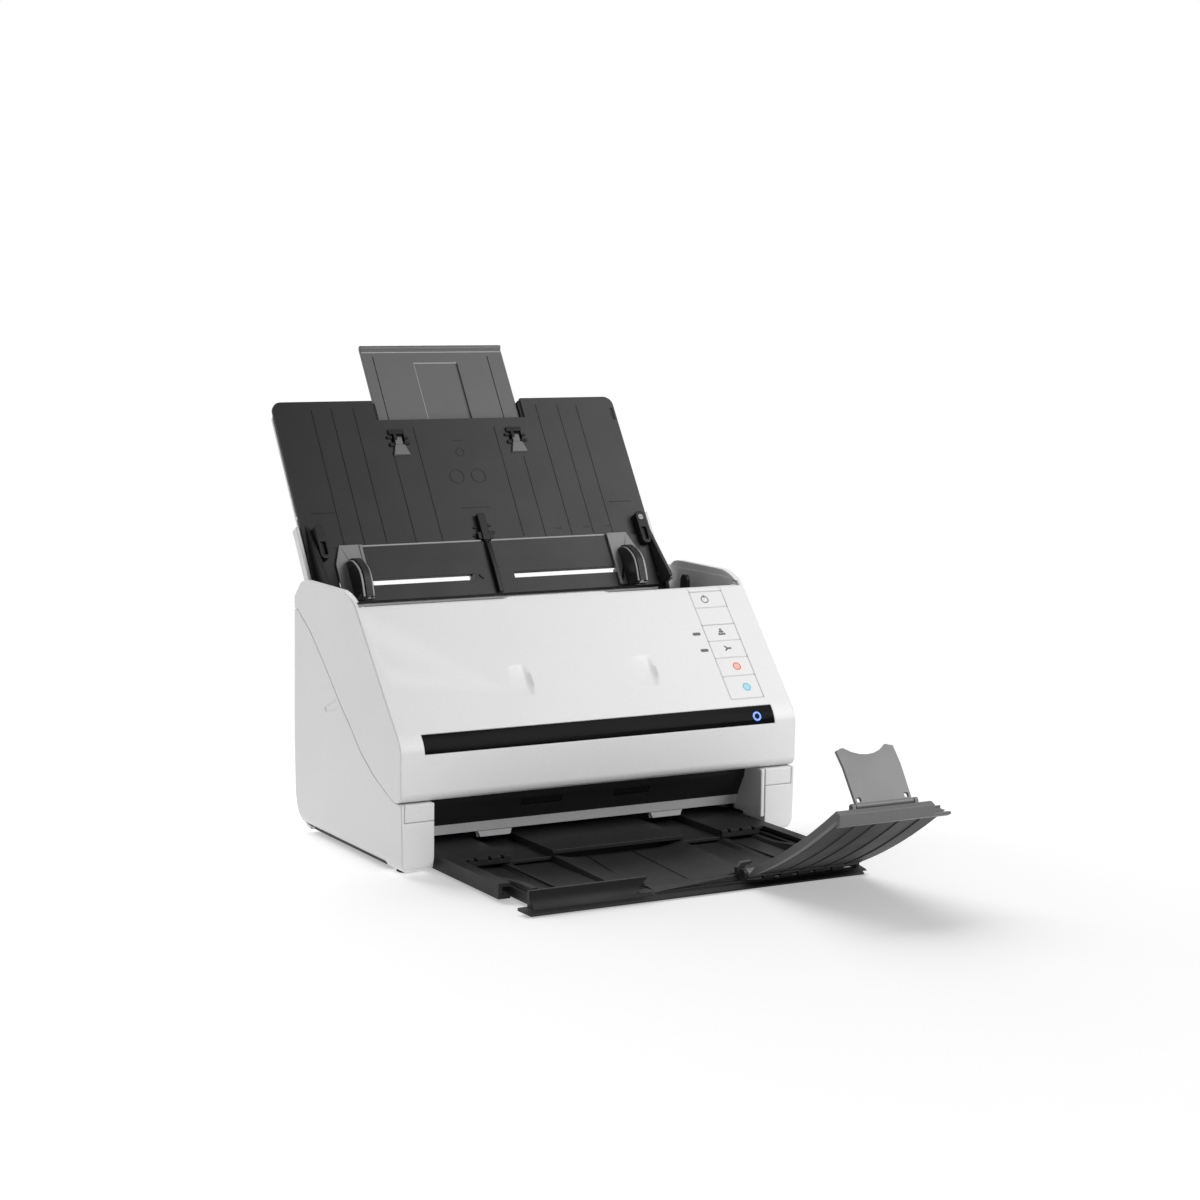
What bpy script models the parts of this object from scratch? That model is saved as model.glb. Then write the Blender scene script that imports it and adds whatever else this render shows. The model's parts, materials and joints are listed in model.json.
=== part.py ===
"""Desktop sheet-fed document scanner with its input tray and output trays drawn out.

Frame: +X to the right as seen from the front, -Y towards the user, +Z up. Everything is modelled
round a point on the table under the middle of the body, and then moved back as one, so that the
origin ends under the centre of the whole footprint with the trays out. Lengths below are in
millimetres; the mesh helpers turn them into metres. A "YZ" outline is a side view, an "XZ" outline
is a front view.
"""

import math

import bmesh
import bpy
from mathutils import Matrix, Vector

MM = 0.001
GAP = 0.3

# From the point under the body's middle to the origin, along Y
FOOTPRINT_SHIFT = 57.667

# Body
HALF_WIDTH = 148.0
FRONT_Y = -84.5
REAR_Y = 84.5
TOP_Z = 172.0
WALL = 2.5
SIDE_INNER = HALF_WIDTH - WALL
WING_INNER = 140.5
PILLAR_INNER = 124.5
CAP_TOP = 46.5
REAR_TOP = 150.5

# Slope of the front cover: it starts at the knee and runs up and back
KNEE = (-78.0, 90.0)
SLOPE_DEG = 49.2
SLOPE_LENGTH = 96.0
SLOPE_UP = (math.cos(math.radians(SLOPE_DEG)), math.sin(math.radians(SLOPE_DEG)))

# Hinge of the front cover, at the centre of its rounded lower edge
COVER_AXIS = (-78.0, 53.5)
COVER_EDGE_RADIUS = 6.5

# Paper path: from the exit slot up to the hopper, with distances along it and off it
PATH_START = (-50.0, 24.0)
PATH_DEG = 47.5
PATH_UP = (math.cos(math.radians(PATH_DEG)), math.sin(math.radians(PATH_DEG)))
PATH_OUT = (-PATH_UP[1], PATH_UP[0])
PAPER_HALF = 112.0
NIP = 0.8

# Input tray: its frame has Z along the tray, Y through its back, origin on its hinge
TRAY_AXIS = (73.0, 161.0)
TRAY_DEG = 57.1
TRAY_HALF = 138.6
TRAY_TIP = 149.0
TRAY_FOOT = -8.0
HOPPER_TOP = 33.0
NOTCH_HALF = 59.5
NOTCH_FOOT = 133.0
EXTENSION_HALF = 56.8
EXTENSION_TOP = 196.0
EXTENSION_FOOT = 78.0
SLOT_S = (3.5, 8.3)
SLOT_X = (15.0, 119.0)
RACK_PITCH_S = 6.0
PINION_S = 6.0

# Output trays
OUT_HALF = 121.0
STAGE_ONE_Y = (-101.0, -34.0)
RAIL_FRONT_Y = -166.0
DECK_TOP = 12.0
DECK = 2.2
CHANNEL_X = (49.0, 79.0)
STAGE_TWO_Y = (-201.0, -76.0)
STAGE_TWO_HALF = 111.0
LIP_TOP = 14.0
LIP_Y = -198.0
FLANGE_FRONT_Y = -207.0
FLANGE_BACK_Y = -196.5
FLANGE_HALF = 124.0
FLANGE_Z = (0.6, 1.8)
SCOOP_HALF = 31.7
FLAP_AXIS = (-198.0, 8.0)
FLAP_X = (36.0, 118.0)
FLAP_REACH = 98.0
STOP_AXIS = (-290.0, 66.6)
STOP_X = (53.0, 95.0)
STOP_DEG = 56.5
STOP_HEIGHT = 37.0

# Drive
GEAR_MODULE = 1.25
GEAR_TEETH = 36
MOTOR_TEETH = 14
RACK_MODULE = 1.0
RACK_TEETH = 12

COLOURS = {
    "white_case": ((0.80, 0.80, 0.80), 0.42, 0.0),
    "light_grey": ((0.45, 0.45, 0.46), 0.45, 0.0),
    "charcoal": ((0.055, 0.055, 0.058), 0.55, 0.0),
    "mid_grey": ((0.17, 0.17, 0.175), 0.5, 0.0),
    "black": ((0.015, 0.015, 0.016), 0.45, 0.0),
    "gloss_black": ((0.004, 0.004, 0.005), 0.08, 0.0),
    "rubber": ((0.02, 0.02, 0.02), 0.8, 0.0),
    "roller_rubber": ((0.12, 0.12, 0.13), 0.75, 0.0),
    "steel": ((0.55, 0.55, 0.56), 0.3, 1.0),
    "nylon": ((0.75, 0.73, 0.66), 0.5, 0.0),
    "board": ((0.02, 0.16, 0.07), 0.45, 0.0),
    "glass": ((0.6, 0.7, 0.68), 0.05, 0.0),
    "blue_light": ((0.06, 0.15, 0.6), 0.3, 0.0),
}


# --- outlines -------------------------------------------------------------------------------------


def arc(centre, radius, start_deg, end_deg, steps):
    """Points on a circle from one angle to another, both ends included."""
    points = []
    for i in range(steps + 1):
        angle = math.radians(start_deg + (end_deg - start_deg) * i / steps)
        points.append((centre[0] + radius * math.cos(angle), centre[1] + radius * math.sin(angle)))
    return points


def circle(centre, radius, steps=24):
    return arc(centre, radius, 0, 360, steps)[:-1]


def rectangle(a, b):
    """The outline of a rectangle from two (low, high) pairs."""
    return [(a[0], b[0]), (a[1], b[0]), (a[1], b[1]), (a[0], b[1])]


def rounded(a, b, radius, steps=3):
    """A rectangle with round corners."""
    corners = [(a[1] - radius, b[1] - radius, 0), (a[0] + radius, b[1] - radius, 90)]
    corners += [(a[0] + radius, b[0] + radius, 180), (a[1] - radius, b[0] + radius, 270)]
    points = []
    for across, up, start in corners:
        points += arc((across, up), radius, start, start + 90, steps)
    return points


def beside(points, distance):
    """The open line that runs parallel to this one, at this distance on its right."""
    shifted = []
    for i, (a, b) in enumerate(points):
        before = points[max(i - 1, 0)]
        after = points[min(i + 1, len(points) - 1)]
        ways = [Vector((a - before[0], b - before[1])), Vector((after[0] - a, after[1] - b))]
        ways = [way.normalized() for way in ways if way.length > 0]
        mean = sum(ways, Vector((0, 0))).normalized()
        reach = distance / max(mean.dot(ways[0]), 0.5)
        shifted.append((a + mean.y * reach, b - mean.x * reach))
    return shifted


def sheet(points, thickness):
    """A bent sheet: a line and its parallel, closed into one outline."""
    return points + beside(points, thickness)[::-1]


def path_point(along, off=0.0):
    """A side-view point given by its distances along the paper path and off it, to the front."""
    return (
        PATH_START[0] + PATH_UP[0] * along + PATH_OUT[0] * off,
        PATH_START[1] + PATH_UP[1] * along + PATH_OUT[1] * off,
    )


def path_box(alongs, offs):
    """A rectangle in the side view, square to the paper path."""
    (start, end), (low, high) = alongs, offs
    return [path_point(start, low), path_point(end, low), path_point(end, high), path_point(start, high)]


def gear_outline(module, teeth, centre, phase_deg):
    """A spur gear: four points to a tooth, narrower than half the pitch to leave backlash."""
    pitch_radius = module * teeth / 2
    tip, root = pitch_radius + 0.75 * module, pitch_radius - 1.15 * module
    share = 360 / teeth
    points = []
    for tooth in range(teeth):
        middle = phase_deg + tooth * share
        for radius, part in ((root, -0.33), (tip, -0.11), (tip, 0.11), (root, 0.33)):
            angle = math.radians(middle + part * share)
            points.append((centre[0] + radius * math.cos(angle), centre[1] + radius * math.sin(angle)))
    return points


def rack_outline(module, start, end, pitch_line, back, phase):
    """A straight rack between start and end; its teeth point away from its back."""
    towards = 1 if pitch_line > back else -1
    tip, root = pitch_line + towards * 0.75 * module, pitch_line - towards * 1.15 * module
    pitch = math.pi * module
    points = [(start, back), (start, root)]
    middle = phase + pitch * math.ceil((start - phase) / pitch + 0.5)
    while middle + 0.5 * pitch < end:
        points += [(middle - 0.33 * pitch, root), (middle - 0.11 * pitch, tip)]
        points += [(middle + 0.11 * pitch, tip), (middle + 0.33 * pitch, root)]
        middle += pitch
    return points + [(end, root), (end, back)]


# --- solids ---------------------------------------------------------------------------------------


def solid(mesh):
    """An object from a bmesh, with its faces turned outwards."""
    bmesh.ops.recalc_face_normals(mesh, faces=mesh.faces)
    data = bpy.data.meshes.new("shape")
    mesh.to_mesh(data)
    mesh.free()
    obj = bpy.data.objects.new("shape", data)
    bpy.context.scene.collection.objects.link(obj)
    return obj


def prism(plane, outline, ends):
    """An outline in the YZ, XZ or XY plane, drawn out between two ends of the third direction."""
    order = {"YZ": (2, 0, 1), "XZ": (0, 2, 1), "XY": (0, 1, 2)}[plane]
    mesh = bmesh.new()
    rings = []
    for end in sorted(ends):
        ring = []
        for a, b in outline:
            values = (a, b, end)
            ring.append(mesh.verts.new(Vector([values[i] for i in order]) * MM))
        rings.append(ring)
    mesh.faces.new(rings[0])
    mesh.faces.new(rings[1])
    for i in range(len(outline)):
        j = (i + 1) % len(outline)
        mesh.faces.new((rings[0][i], rings[0][j], rings[1][j], rings[1][i]))
    return solid(mesh)


def block(x, y, z):
    return prism("XY", rectangle(x, y), z)


def sided(side, low, high):
    """A range of X on the left (side -1) or the right (side 1)."""
    return sorted((side * low, side * high))


def boolean(target, tool, operation):
    modifier = target.modifiers.new(operation, "BOOLEAN")
    modifier.operation = operation
    modifier.object = tool
    bpy.context.view_layer.update()
    graph = bpy.context.evaluated_depsgraph_get()
    target.data = bpy.data.meshes.new_from_object(target.evaluated_get(graph))
    target.modifiers.clear()
    bpy.data.objects.remove(tool)
    return target


def add(target, *tools):
    for tool in tools:
        boolean(target, tool, "UNION")
    return target


def cut(target, *tools):
    for tool in tools:
        boolean(target, tool, "DIFFERENCE")
    return target


def keep(target, tool):
    return boolean(target, tool, "INTERSECT")


def turned_in_place(obj, matrix):
    """Moves the mesh itself, so that it can be cut from or added to another."""
    obj.data.transform(matrix)
    return obj


def material(slot):
    found = bpy.data.materials.get(slot)
    if found:
        return found
    colour, roughness, metallic = COLOURS[slot]
    made = bpy.data.materials.new(slot)
    made.use_nodes = True
    shader = made.node_tree.nodes["Principled BSDF"]
    shader.inputs["Base Color"].default_value = (*colour, 1.0)
    shader.inputs["Roughness"].default_value = roughness
    shader.inputs["Metallic"].default_value = metallic
    return made


def finish(obj, name, slot, parent=None, local=False, bevel=0.0):
    """Names the piece, gives it its material and hangs it on its joint's empty.

    A local piece was modelled in its empty's frame; any other was modelled in the world's.
    """
    obj.name = name
    obj.data.name = name
    obj.data.materials.clear()
    obj.data.materials.append(material(slot))
    obj.data.shade_smooth()
    obj.data.set_sharp_from_angle(angle=math.radians(35))
    if bevel:
        edge = obj.modifiers.new("Edges", "BEVEL")
        edge.width = bevel * MM
        edge.segments = 1
        edge.limit_method = "ANGLE"
        edge.angle_limit = math.radians(50)
    if parent:
        obj.parent = parent
        if not local:
            obj.matrix_parent_inverse = parent.matrix_world.inverted()
    return obj


def axis_empty(name, place, rotation_x=0.0, parent=None):
    """An empty on a joint's axis, placed in world coordinates."""
    empty = bpy.data.objects.new(name, None)
    empty.empty_display_size = 0.02
    bpy.context.scene.collection.objects.link(empty)
    if parent:
        empty.parent = parent
        empty.matrix_parent_inverse = parent.matrix_world.inverted()
    turn = Matrix.Rotation(math.radians(rotation_x), 4, "X")
    empty.matrix_basis = Matrix.Translation(Vector(place) * MM) @ turn
    bpy.context.view_layer.update()
    return empty


def slope_frame():
    """Local X across, Y up the front slope, Z out of it, from the knee."""
    place = Matrix.Translation(Vector((0, KNEE[0], KNEE[1])) * MM)
    return place @ Matrix.Rotation(math.radians(SLOPE_DEG), 4, "X")


# --- base -----------------------------------------------------------------------------------------

SEAM = [(84.5, REAR_TOP), (79.0, REAR_TOP), (57.7, 138.0), (35.8, 120.6), (7.9, 96.2), (-5.0, 86.6)]
SEAM += [(-24.0, 70.2), (-44.0, 58.6), (-60.0, 51.8), (-70.0, 47.9), (-76.0, CAP_TOP)]
SEAM_GAP = 0.6
TUNNEL_HALF = 122.3
TUNNEL_END = 40.0
TUNNEL_ROOF = 17.0


def bottom_pan():
    """The floor of the base, stepped up over the tunnel that the output trays slide into."""
    sheet_z = (TUNNEL_ROOF, TUNNEL_ROOF + 2.5)
    pan = block((-TUNNEL_HALF - 2.5, TUNNEL_HALF + 2.5), (-42, 42.5), sheet_z)
    wall = block((-TUNNEL_HALF - 2.5, TUNNEL_HALF + 2.5), (TUNNEL_END, 42.5), (3.2, 18.5))
    floor = block((-131, 131), (40.5, 58.0), (3.2, 5.7))
    add(pan, wall, floor)
    for side in (-1, 1):
        add(pan, block(sided(side, TUNNEL_HALF, TUNNEL_HALF + 2.5), (-41.9, 42), (3.2, 18.5)))
        add(pan, block(sided(side, TUNNEL_HALF + 1, 144.5), (-56, 58), (3.2, 5.7)))
        add(pan, block(sided(side, 100, 104), (44, 56), (4, 12)))
    return finish(pan, "bottom_pan", "black")


def side_section():
    """Front view of the body's right half: upright, drawn in a little towards a rounded foot."""
    foot = arc((HALF_WIDTH - 10.2, 10.0), 9.0, 0, -90, 4)
    return [(60, 200), (HALF_WIDTH, 200), (HALF_WIDTH, 60)] + foot + [(60, 1.0)]


def side_outline():
    back = arc((REAR_Y - 22, 24), 22, 0, -90, 5)
    front = [(-78, 2), (-83.0, 5), (FRONT_Y, 12), (FRONT_Y, CAP_TOP)]
    return SEAM[::-1] + back + front


def side_cover(side):
    """A side panel of the base with the front pillar that ends it."""
    name = {-1: "left_side_cover", 1: "right_side_cover"}[side]
    panel = prism("YZ", side_outline(), sided(side, SIDE_INNER, HALF_WIDTH + 1))
    pillar = prism("YZ", side_outline(), sided(side, PILLAR_INNER, SIDE_INNER + 1))
    keep(pillar, block((-160, 160), (-90, -57.5), (0, 34.8)))
    add(panel, pillar)
    cut(panel, block(sided(side, PILLAR_INNER + WALL, SIDE_INNER), (FRONT_Y + WALL, -50), (6.2, 32.5)))
    section = [(side * a, b) for a, b in side_section()]
    keep(panel, prism("XZ", section, (-100, 100)))
    return finish(panel, name, "white_case", bevel=0.5)


def hinge_cap(side):
    """The block on top of a pillar. Its arm reaches into the cover and holds the hinge pin."""
    name = {-1: "left_hinge_cap", 1: "right_hinge_cap"}[side]
    cap = block(sided(side, PILLAR_INNER, SIDE_INNER - GAP), (FRONT_Y, -63), (35.1, CAP_TOP))
    arm = [(-64, 44), (-64, 56.8), COVER_AXIS, (-72, 50.5), (-70, 44)]
    add(cap, prism("YZ", arm, sided(side, 128, 134)))
    add(cap, prism("YZ", circle(COVER_AXIS, 3.7, 16), sided(side, 128, 134)))
    cut(cap, prism("YZ", circle(COVER_AXIS, 1.6, 16), sided(side, 120, 140)))
    return finish(cap, name, "white_case", bevel=0.4)


def rear_cover():
    """The back wall, with rows of vent slots and a bay for the sockets."""
    line = [(REAR_Y, REAR_TOP)] + arc((REAR_Y - 22, 24), 22, 0, -90, 5)
    wall = prism("YZ", sheet(line, WALL), (-SIDE_INNER + GAP, SIDE_INNER - GAP))
    for row in range(3):
        for column in range(6):
            x = -95 + column * 22
            z = 120 - row * 9
            cut(wall, block((x, x + 16), (80, 90), (z, z + 2.5)))
    bay = block((48, 112), (80, 90), (14, 44))
    cut(wall, bay)
    lining = block((46, 114), (75, 83), (12, 46))
    cut(lining, block((48, 112), (77.5, 90), (14, 44)))
    for socket_x in (69, 97):
        opening = block((socket_x - 8.3, socket_x + 8.3), (70, 80), (20.7, 35.3))
        cut(lining, opening)
    add(wall, lining)
    return finish(wall, "rear_cover", "white_case")


def feet():
    for name, x, y in (("front_left_foot", -134, -66), ("front_right_foot", 134, -66),
                       ("rear_left_foot", -132, 46), ("rear_right_foot", 132, 46)):
        height = (0, 2.9)
        if y < 0:
            height = (0, 1.9 - GAP)
        foot = prism("XY", rounded((x - 7, x + 7), (y - 5, y + 5), 3, 2), height)
        finish(foot, name, "rubber")


def exit_guide():
    """The black panel over the exit slot and the short guide behind it, with its roller windows."""
    line = [(-64.0, 45.0), (-62.5, 38.6), (-54.5, 23.6), path_point(4, 1.4), path_point(33, 1.4)]
    guide = prism("YZ", sheet(line[::-1], 2.0), (-123.5, 123.5))
    for low, high in ((-50, -20), (20, 47)):
        cut(guide, block((low, high), (-70, -56), (33, 38)))
        cut(guide, prism("YZ", circle(path_point(24, 6.9), 6.4, 12), (low - 1, high + 1)))
    return finish(guide, "exit_guide", "black")


def exit_lip():
    """The silver-grey lip that leads paper out of the slot, with two tabs over the tray's channels."""
    section = [path_point(0.8, -0.5), path_point(-5.2, -0.9), path_point(-6.0, -2.6), path_point(0.8, -2.4)]
    lip = prism("YZ", section, (-123.5, 123.5))
    for side in (-1, 1):
        tab = [(side * 51.5, 20.2), (side * 53, 13.4), (side * 77.5, 13.4), (side * 79, 20.2)]
        add(lip, prism("XZ", tab, (-52.0, -50.6)))
    return finish(lip, "exit_lip", "light_grey")


FEED_RINGS = ((-75, -60), (-35, -20), (20, 35), (60, 75))
EJECT_RINGS = ((-47, -23), (23, 44))
PICKUP_RINGS = ((-20, 20),)
EJECT = path_point(24, NIP - 7.0)
FEED = path_point(96, NIP - 8.0)
PICKUP = path_point(118, NIP - 12.0)
EXIT_IDLER = path_point(24, NIP + 0.5 + 5.5)
FEED_IDLER = path_point(96, NIP + 0.5 + 5.0)
SEPARATION = path_point(118, NIP + 0.5 + 11.0)
SHAFT_RADIUS = 3.0
FRAME_X = (134.0, 136.0)
DRIVE_X = (138.4, 142.4)
PULLEY_RADIUS = 8.0


def lower_paper_guide():
    """The lower side of the paper path, with windows for the scan glass and the rollers."""
    line = [path_point(1.6, -0.5), path_point(138, -0.5), (47.5, 127.0)]
    guide = prism("YZ", sheet(line, 2.0), (-129, 129))
    cut(guide, prism("YZ", path_box((57.7, 72.3), (-6, 3)), (-114.3, 114.3)))
    rollers = ((EJECT_RINGS, EJECT, 7), (FEED_RINGS, FEED, 8), (PICKUP_RINGS, PICKUP, 12))
    for rings, centre, radius in rollers:
        for low, high in rings:
            cut(guide, prism("YZ", circle(centre, radius + 0.9, 20), (low - 1.2, high + 1.2)))
    for side in (-1, 1):
        add(guide, prism("YZ", path_box((6, 130), (-9, -2)), sided(side, 127, 129)))
        for centre in (EJECT, FEED, PICKUP):
            cut(guide, prism("YZ", circle(centre, SHAFT_RADIUS + 0.3, 16), sided(side, 125, 130)))
    return finish(guide, "lower_paper_guide", "black")


def glass_and_sensor(names, along, side, parent):
    """A scan glass set in its guide and the image sensor bar on its far side."""
    glass = path_box((along - 7, along + 7), sided(side, 0.6, 2.6))
    finish(prism("YZ", glass, (-PAPER_HALF - 2, PAPER_HALF + 2)), names[0], "glass", parent)
    bar = path_box((along - 10, along + 10), sided(side, 4.6, 15.0))
    finish(prism("YZ", bar, (-PAPER_HALF - 3, PAPER_HALF + 3)), names[1], "black", parent)


def roller(name, centre, radius, rings, shaft, slot, parent, pulley=None):
    """A shaft along X with rubber rings, and a plain pulley where a belt drives it."""
    body = prism("YZ", circle(centre, SHAFT_RADIUS, 16), shaft)
    for low, high in rings:
        add(body, prism("YZ", circle(centre, radius, 24), (low, high)))
    if pulley:
        add(body, prism("YZ", circle(centre, PULLEY_RADIUS, 24), pulley))
    return finish(body, name, slot, parent)


def frame(side):
    """A steel side plate, with a bore for each shaft that it carries."""
    name = {-1: "left_frame", 1: "right_frame"}[side]
    outline = [path_point(2, -1.2), path_point(129, -1.2), (66, 116), (72, 100), (72, 22), (58, 6.2)]
    outline += [(-54, 6.2), (-54, 17)]
    plate = prism("YZ", outline, sided(side, *FRAME_X))
    for centre in (EJECT, FEED, PICKUP):
        cut(plate, prism("YZ", circle(centre, SHAFT_RADIUS + 0.3, 16), sided(side, 130, 140)))
    if side < 0:
        cut(plate, prism("YZ", circle(MOTOR, 3.2, 16), (-140, -130)))
    cut(plate, prism("YZ", rounded((36, 62), (20, 70), 5, 2), sided(side, 130, 140)))
    return finish(plate, name, "steel")


MESH_DEG = -10.0
MESH_DISTANCE = GEAR_MODULE * (GEAR_TEETH + MOTOR_TEETH) / 2 + 0.25
MOTOR = (
    EJECT[0] + MESH_DISTANCE * math.cos(math.radians(MESH_DEG)),
    EJECT[1] + MESH_DISTANCE * math.sin(math.radians(MESH_DEG)),
)


def feed_motor():
    motor = prism("YZ", circle(MOTOR, 11.5, 20), (-132, -94))
    add(motor, prism("YZ", circle(MOTOR, 5.0, 16), (-133.4, -131)))
    return finish(motor, "feed_motor", "steel")


def motor_pinion(parent):
    outline = gear_outline(GEAR_MODULE, MOTOR_TEETH, MOTOR, MESH_DEG + 180)
    gear = prism("YZ", outline, sided(-1, *DRIVE_X))
    add(gear, prism("YZ", circle(MOTOR, 2.0, 12), (-139, -133.8)))
    return finish(gear, "motor_pinion", "nylon", parent)


def reduction_gear(parent):
    """The large gear on the eject roller's shaft; a tooth gap faces the pinion's tooth."""
    phase = MESH_DEG + 180 / GEAR_TEETH
    gear = prism("YZ", gear_outline(GEAR_MODULE, GEAR_TEETH, EJECT, phase), sided(-1, *DRIVE_X))
    cut(gear, prism("YZ", circle(EJECT, SHAFT_RADIUS + 0.15, 16), (-145, -130)))
    for turn in range(4):
        hole = arc(EJECT, 12.5, turn * 90 + 45, turn * 90 + 45, 1)[0]
        cut(gear, prism("YZ", circle(hole, 4.0, 12), (-145, -130)))
    return finish(gear, "reduction_gear", "nylon", parent)


def loop(centres, radius):
    """The line of a belt round equal pulleys, whose centres are in counter-clockwise order."""
    points = []
    count = len(centres)
    for i, centre in enumerate(centres):
        before, after = centres[i - 1], centres[(i + 1) % count]
        first = math.degrees(math.atan2(centre[1] - before[1], centre[0] - before[0])) - 90
        last = math.degrees(math.atan2(after[1] - centre[1], after[0] - centre[0])) - 90
        points += arc(centre, radius, first, first + (last - first) % 360, 8)
    return points


def drive_belt():
    centres = [EJECT, PICKUP, FEED]
    belt = prism("YZ", loop(centres, PULLEY_RADIUS + 1.5), (DRIVE_X[0] + 0.4, DRIVE_X[1] - 0.4))
    cut(belt, prism("YZ", loop(centres, PULLEY_RADIUS + 0.2), (DRIVE_X[0] - 1, DRIVE_X[1] + 1)))
    return finish(belt, "drive_belt", "rubber")


def boards_and_sockets():
    board = block((-70, 44), (76, 77.6), (22, 104))
    for x, z, wide, high in ((-40, 60, 22, 22), (0, 70, 14, 14), (-10, 34, 26, 8), (22, 46, 10, 18)):
        add(board, block((x - wide / 2, x + wide / 2), (72.5, 76.8), (z - high / 2, z + high / 2)))
    finish(board, "main_board", "board")
    jack = prism("XZ", rounded((61, 77), (21, 35), 2, 2), (66, 80))
    cut(jack, prism("XZ", circle((69, 28), 3.6, 16), (70, 90)))
    finish(jack, "power_jack", "black")
    port = block((89, 105), (66, 80), (21, 35))
    cut(port, block((91.5, 102.5), (70, 90), (23.5, 32.5)))
    add(port, block((94, 100), (69, 79), (26, 29)))
    finish(port, "usb_port", "steel")


BRACKET_X = (134.0, 136.6)
TRAY_PIN_RADIUS = 2.5


def tray_bracket(side):
    """The upright that carries the input tray's hinge pin, with a round-topped stop in front."""
    name = {-1: "left_tray_bracket", 1: "right_tray_bracket"}[side]
    outline = [(36.5, 119.3), (64, 119.3), (74, 140), (78.6, 158)]
    outline += arc(TRAY_AXIS, 5.6, 0, 180, 8)
    outline += [(64, 152), (46.0, 150)] + arc((41, 160.4), 4.6, 0, 180, 6) + [(36.0, 140)]
    plate = prism("YZ", outline, sided(side, *BRACKET_X))
    cut(plate, prism("YZ", circle(TRAY_AXIS, TRAY_PIN_RADIUS + 0.1, 20), sided(side, 130, 140)))
    return finish(plate, name, "black")


def tray_hinge_pin(side):
    name = {-1: "left_tray_hinge_pin", 1: "right_tray_hinge_pin"}[side]
    pin = prism("YZ", circle(TRAY_AXIS, TRAY_PIN_RADIUS, 20), sided(side, 130.4, 139.8))
    return finish(pin, name, "steel")


# --- scanner cover --------------------------------------------------------------------------------

BUTTON_X = (102.7, 128.3)
BUTTONS = (
    ("power_button", 80.1, 92.6),
    ("slow_mode_button", 52.7, 65.2),
    ("skip_button", 38.9, 52.1),
    ("stop_button", 24.2, 38.3),
    ("start_button", 6.0, 23.6),
)
BUTTON_WINDOWS = ((5.6, 65.6), (79.7, 93.0))
STRIP_HALF = 131.0
STRIP = [(FRONT_Y, 78.0), (-83.8, 81.0), (-81.8, 85.2), (-78.6, 89.2)]


def slope_point(along):
    return (KNEE[0] + SLOPE_UP[0] * along, KNEE[1] + SLOPE_UP[1] * along)


def cover_front_line():
    """Side view of the cover's front: under the lip, round the edge, up the face and the slope."""
    line = [(-66.0, 47.0)] + arc(COVER_AXIS, COVER_EDGE_RADIUS, 270, 180, 4)
    line += STRIP + [slope_point(0), slope_point(SLOPE_LENGTH)]
    crest = slope_point(SLOPE_LENGTH)
    line += [(crest[0] + 2.4, crest[1] + 0.4), (crest[0] + 4.2, crest[1] - 2.0)]
    return line + [(crest[0] + 4.6, 156.0)]


def cover_side_outline():
    seam = [(y, z + SEAM_GAP) for y, z in SEAM[:-1]]
    seam.append((SEAM[-1][0], COVER_AXIS[1] - COVER_EDGE_RADIUS + 0.05))
    line = arc(COVER_AXIS, COVER_EDGE_RADIUS, 270, 180, 4) + STRIP + [slope_point(0)]
    shoulder = [slope_point(34), (-44, 134), (-34, 150.5), (-27, 160.5), (-21, 167), (-14, 170.8)]
    shoulder.append((-6, TOP_Z))
    back = [(64, TOP_Z), (70, 171.2), (74.5, 169), (REAR_Y, 159)]
    return seam + line + shoulder + back


def front_cover(parent):
    """The tilting shell: front face, slope, and the two side wings that stand beside the tray."""
    shell = prism("YZ", sheet(cover_front_line(), WALL), (-146.5, 146.5))
    for side in (-1, 1):
        wing = prism("YZ", cover_side_outline(), sided(side, WING_INNER, HALF_WIDTH))
        cut(wing, block(sided(side, 130, SIDE_INNER), (-100, 100), (40, 138)))
        hidden = [(-40, 137), (79, 150), (79, 166), (-12, 166)]
        cut(wing, prism("YZ", hidden, sided(side, WING_INNER + 2, SIDE_INNER)))
        cut(shell, block(sided(side, SIDE_INNER - 0.1, 150), (-75, -60), (40, 50.5)))
        add(shell, wing)
        add(shell, block(sided(side, 135, 138), (-83, -74.5), (49, 58)))
        cut(shell, block(sided(side, 127.4, 134.6), (-79, -60), (46, 54)))
        add(shell, prism("YZ", circle(COVER_AXIS, 1.5, 16), sided(side, 126.5, 136)))
    foot, edge = SLOPE_LENGTH - 2, SLOPE_LENGTH + 2.4
    tongue = prism("XY", [(-50, foot), (50, foot), (36, edge), (-36, edge)], (-2.2, -0.1))
    add(shell, turned_in_place(tongue, slope_frame()))
    for low, high in BUTTON_WINDOWS:
        window = block((BUTTON_X[0] - 0.4, BUTTON_X[1] + 0.4), (low, high), (-6, 3))
        cut(shell, turned_in_place(window, slope_frame()))
    line = [(FRONT_Y, 77.7)] + STRIP[1:-1] + [(-78.4, 89.5)]
    cut(shell, prism("YZ", sheet(beside(line, -3), 12), (-STRIP_HALF - GAP, STRIP_HALF + GAP)))
    cut(shell, block((SIDE_INNER - 1, HALF_WIDTH + 1), LEVER_Y_SLOT, LEVER_Z_SLOT))
    return finish(shell, "front_cover", "white_case", parent)


LEVER_Y_SLOT = (18.0, 50.0)
LEVER_Z_SLOT = (152.0, 163.0)


def cover_open_lever(parent):
    """A pull lever in the right wing that frees the cover's latch."""
    low, high = LEVER_Y_SLOT
    bottom, top = LEVER_Z_SLOT
    lever = block((SIDE_INNER - 0.5, HALF_WIDTH), (low + 0.6, high - 0.6), (bottom + 0.6, top - 0.6))
    cut(lever, block((HALF_WIDTH - 1.2, HALF_WIDTH + 1), (low + 4, high - 8), (155, 160)))
    return finish(lever, "cover_open_lever", "light_grey", parent)


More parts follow.
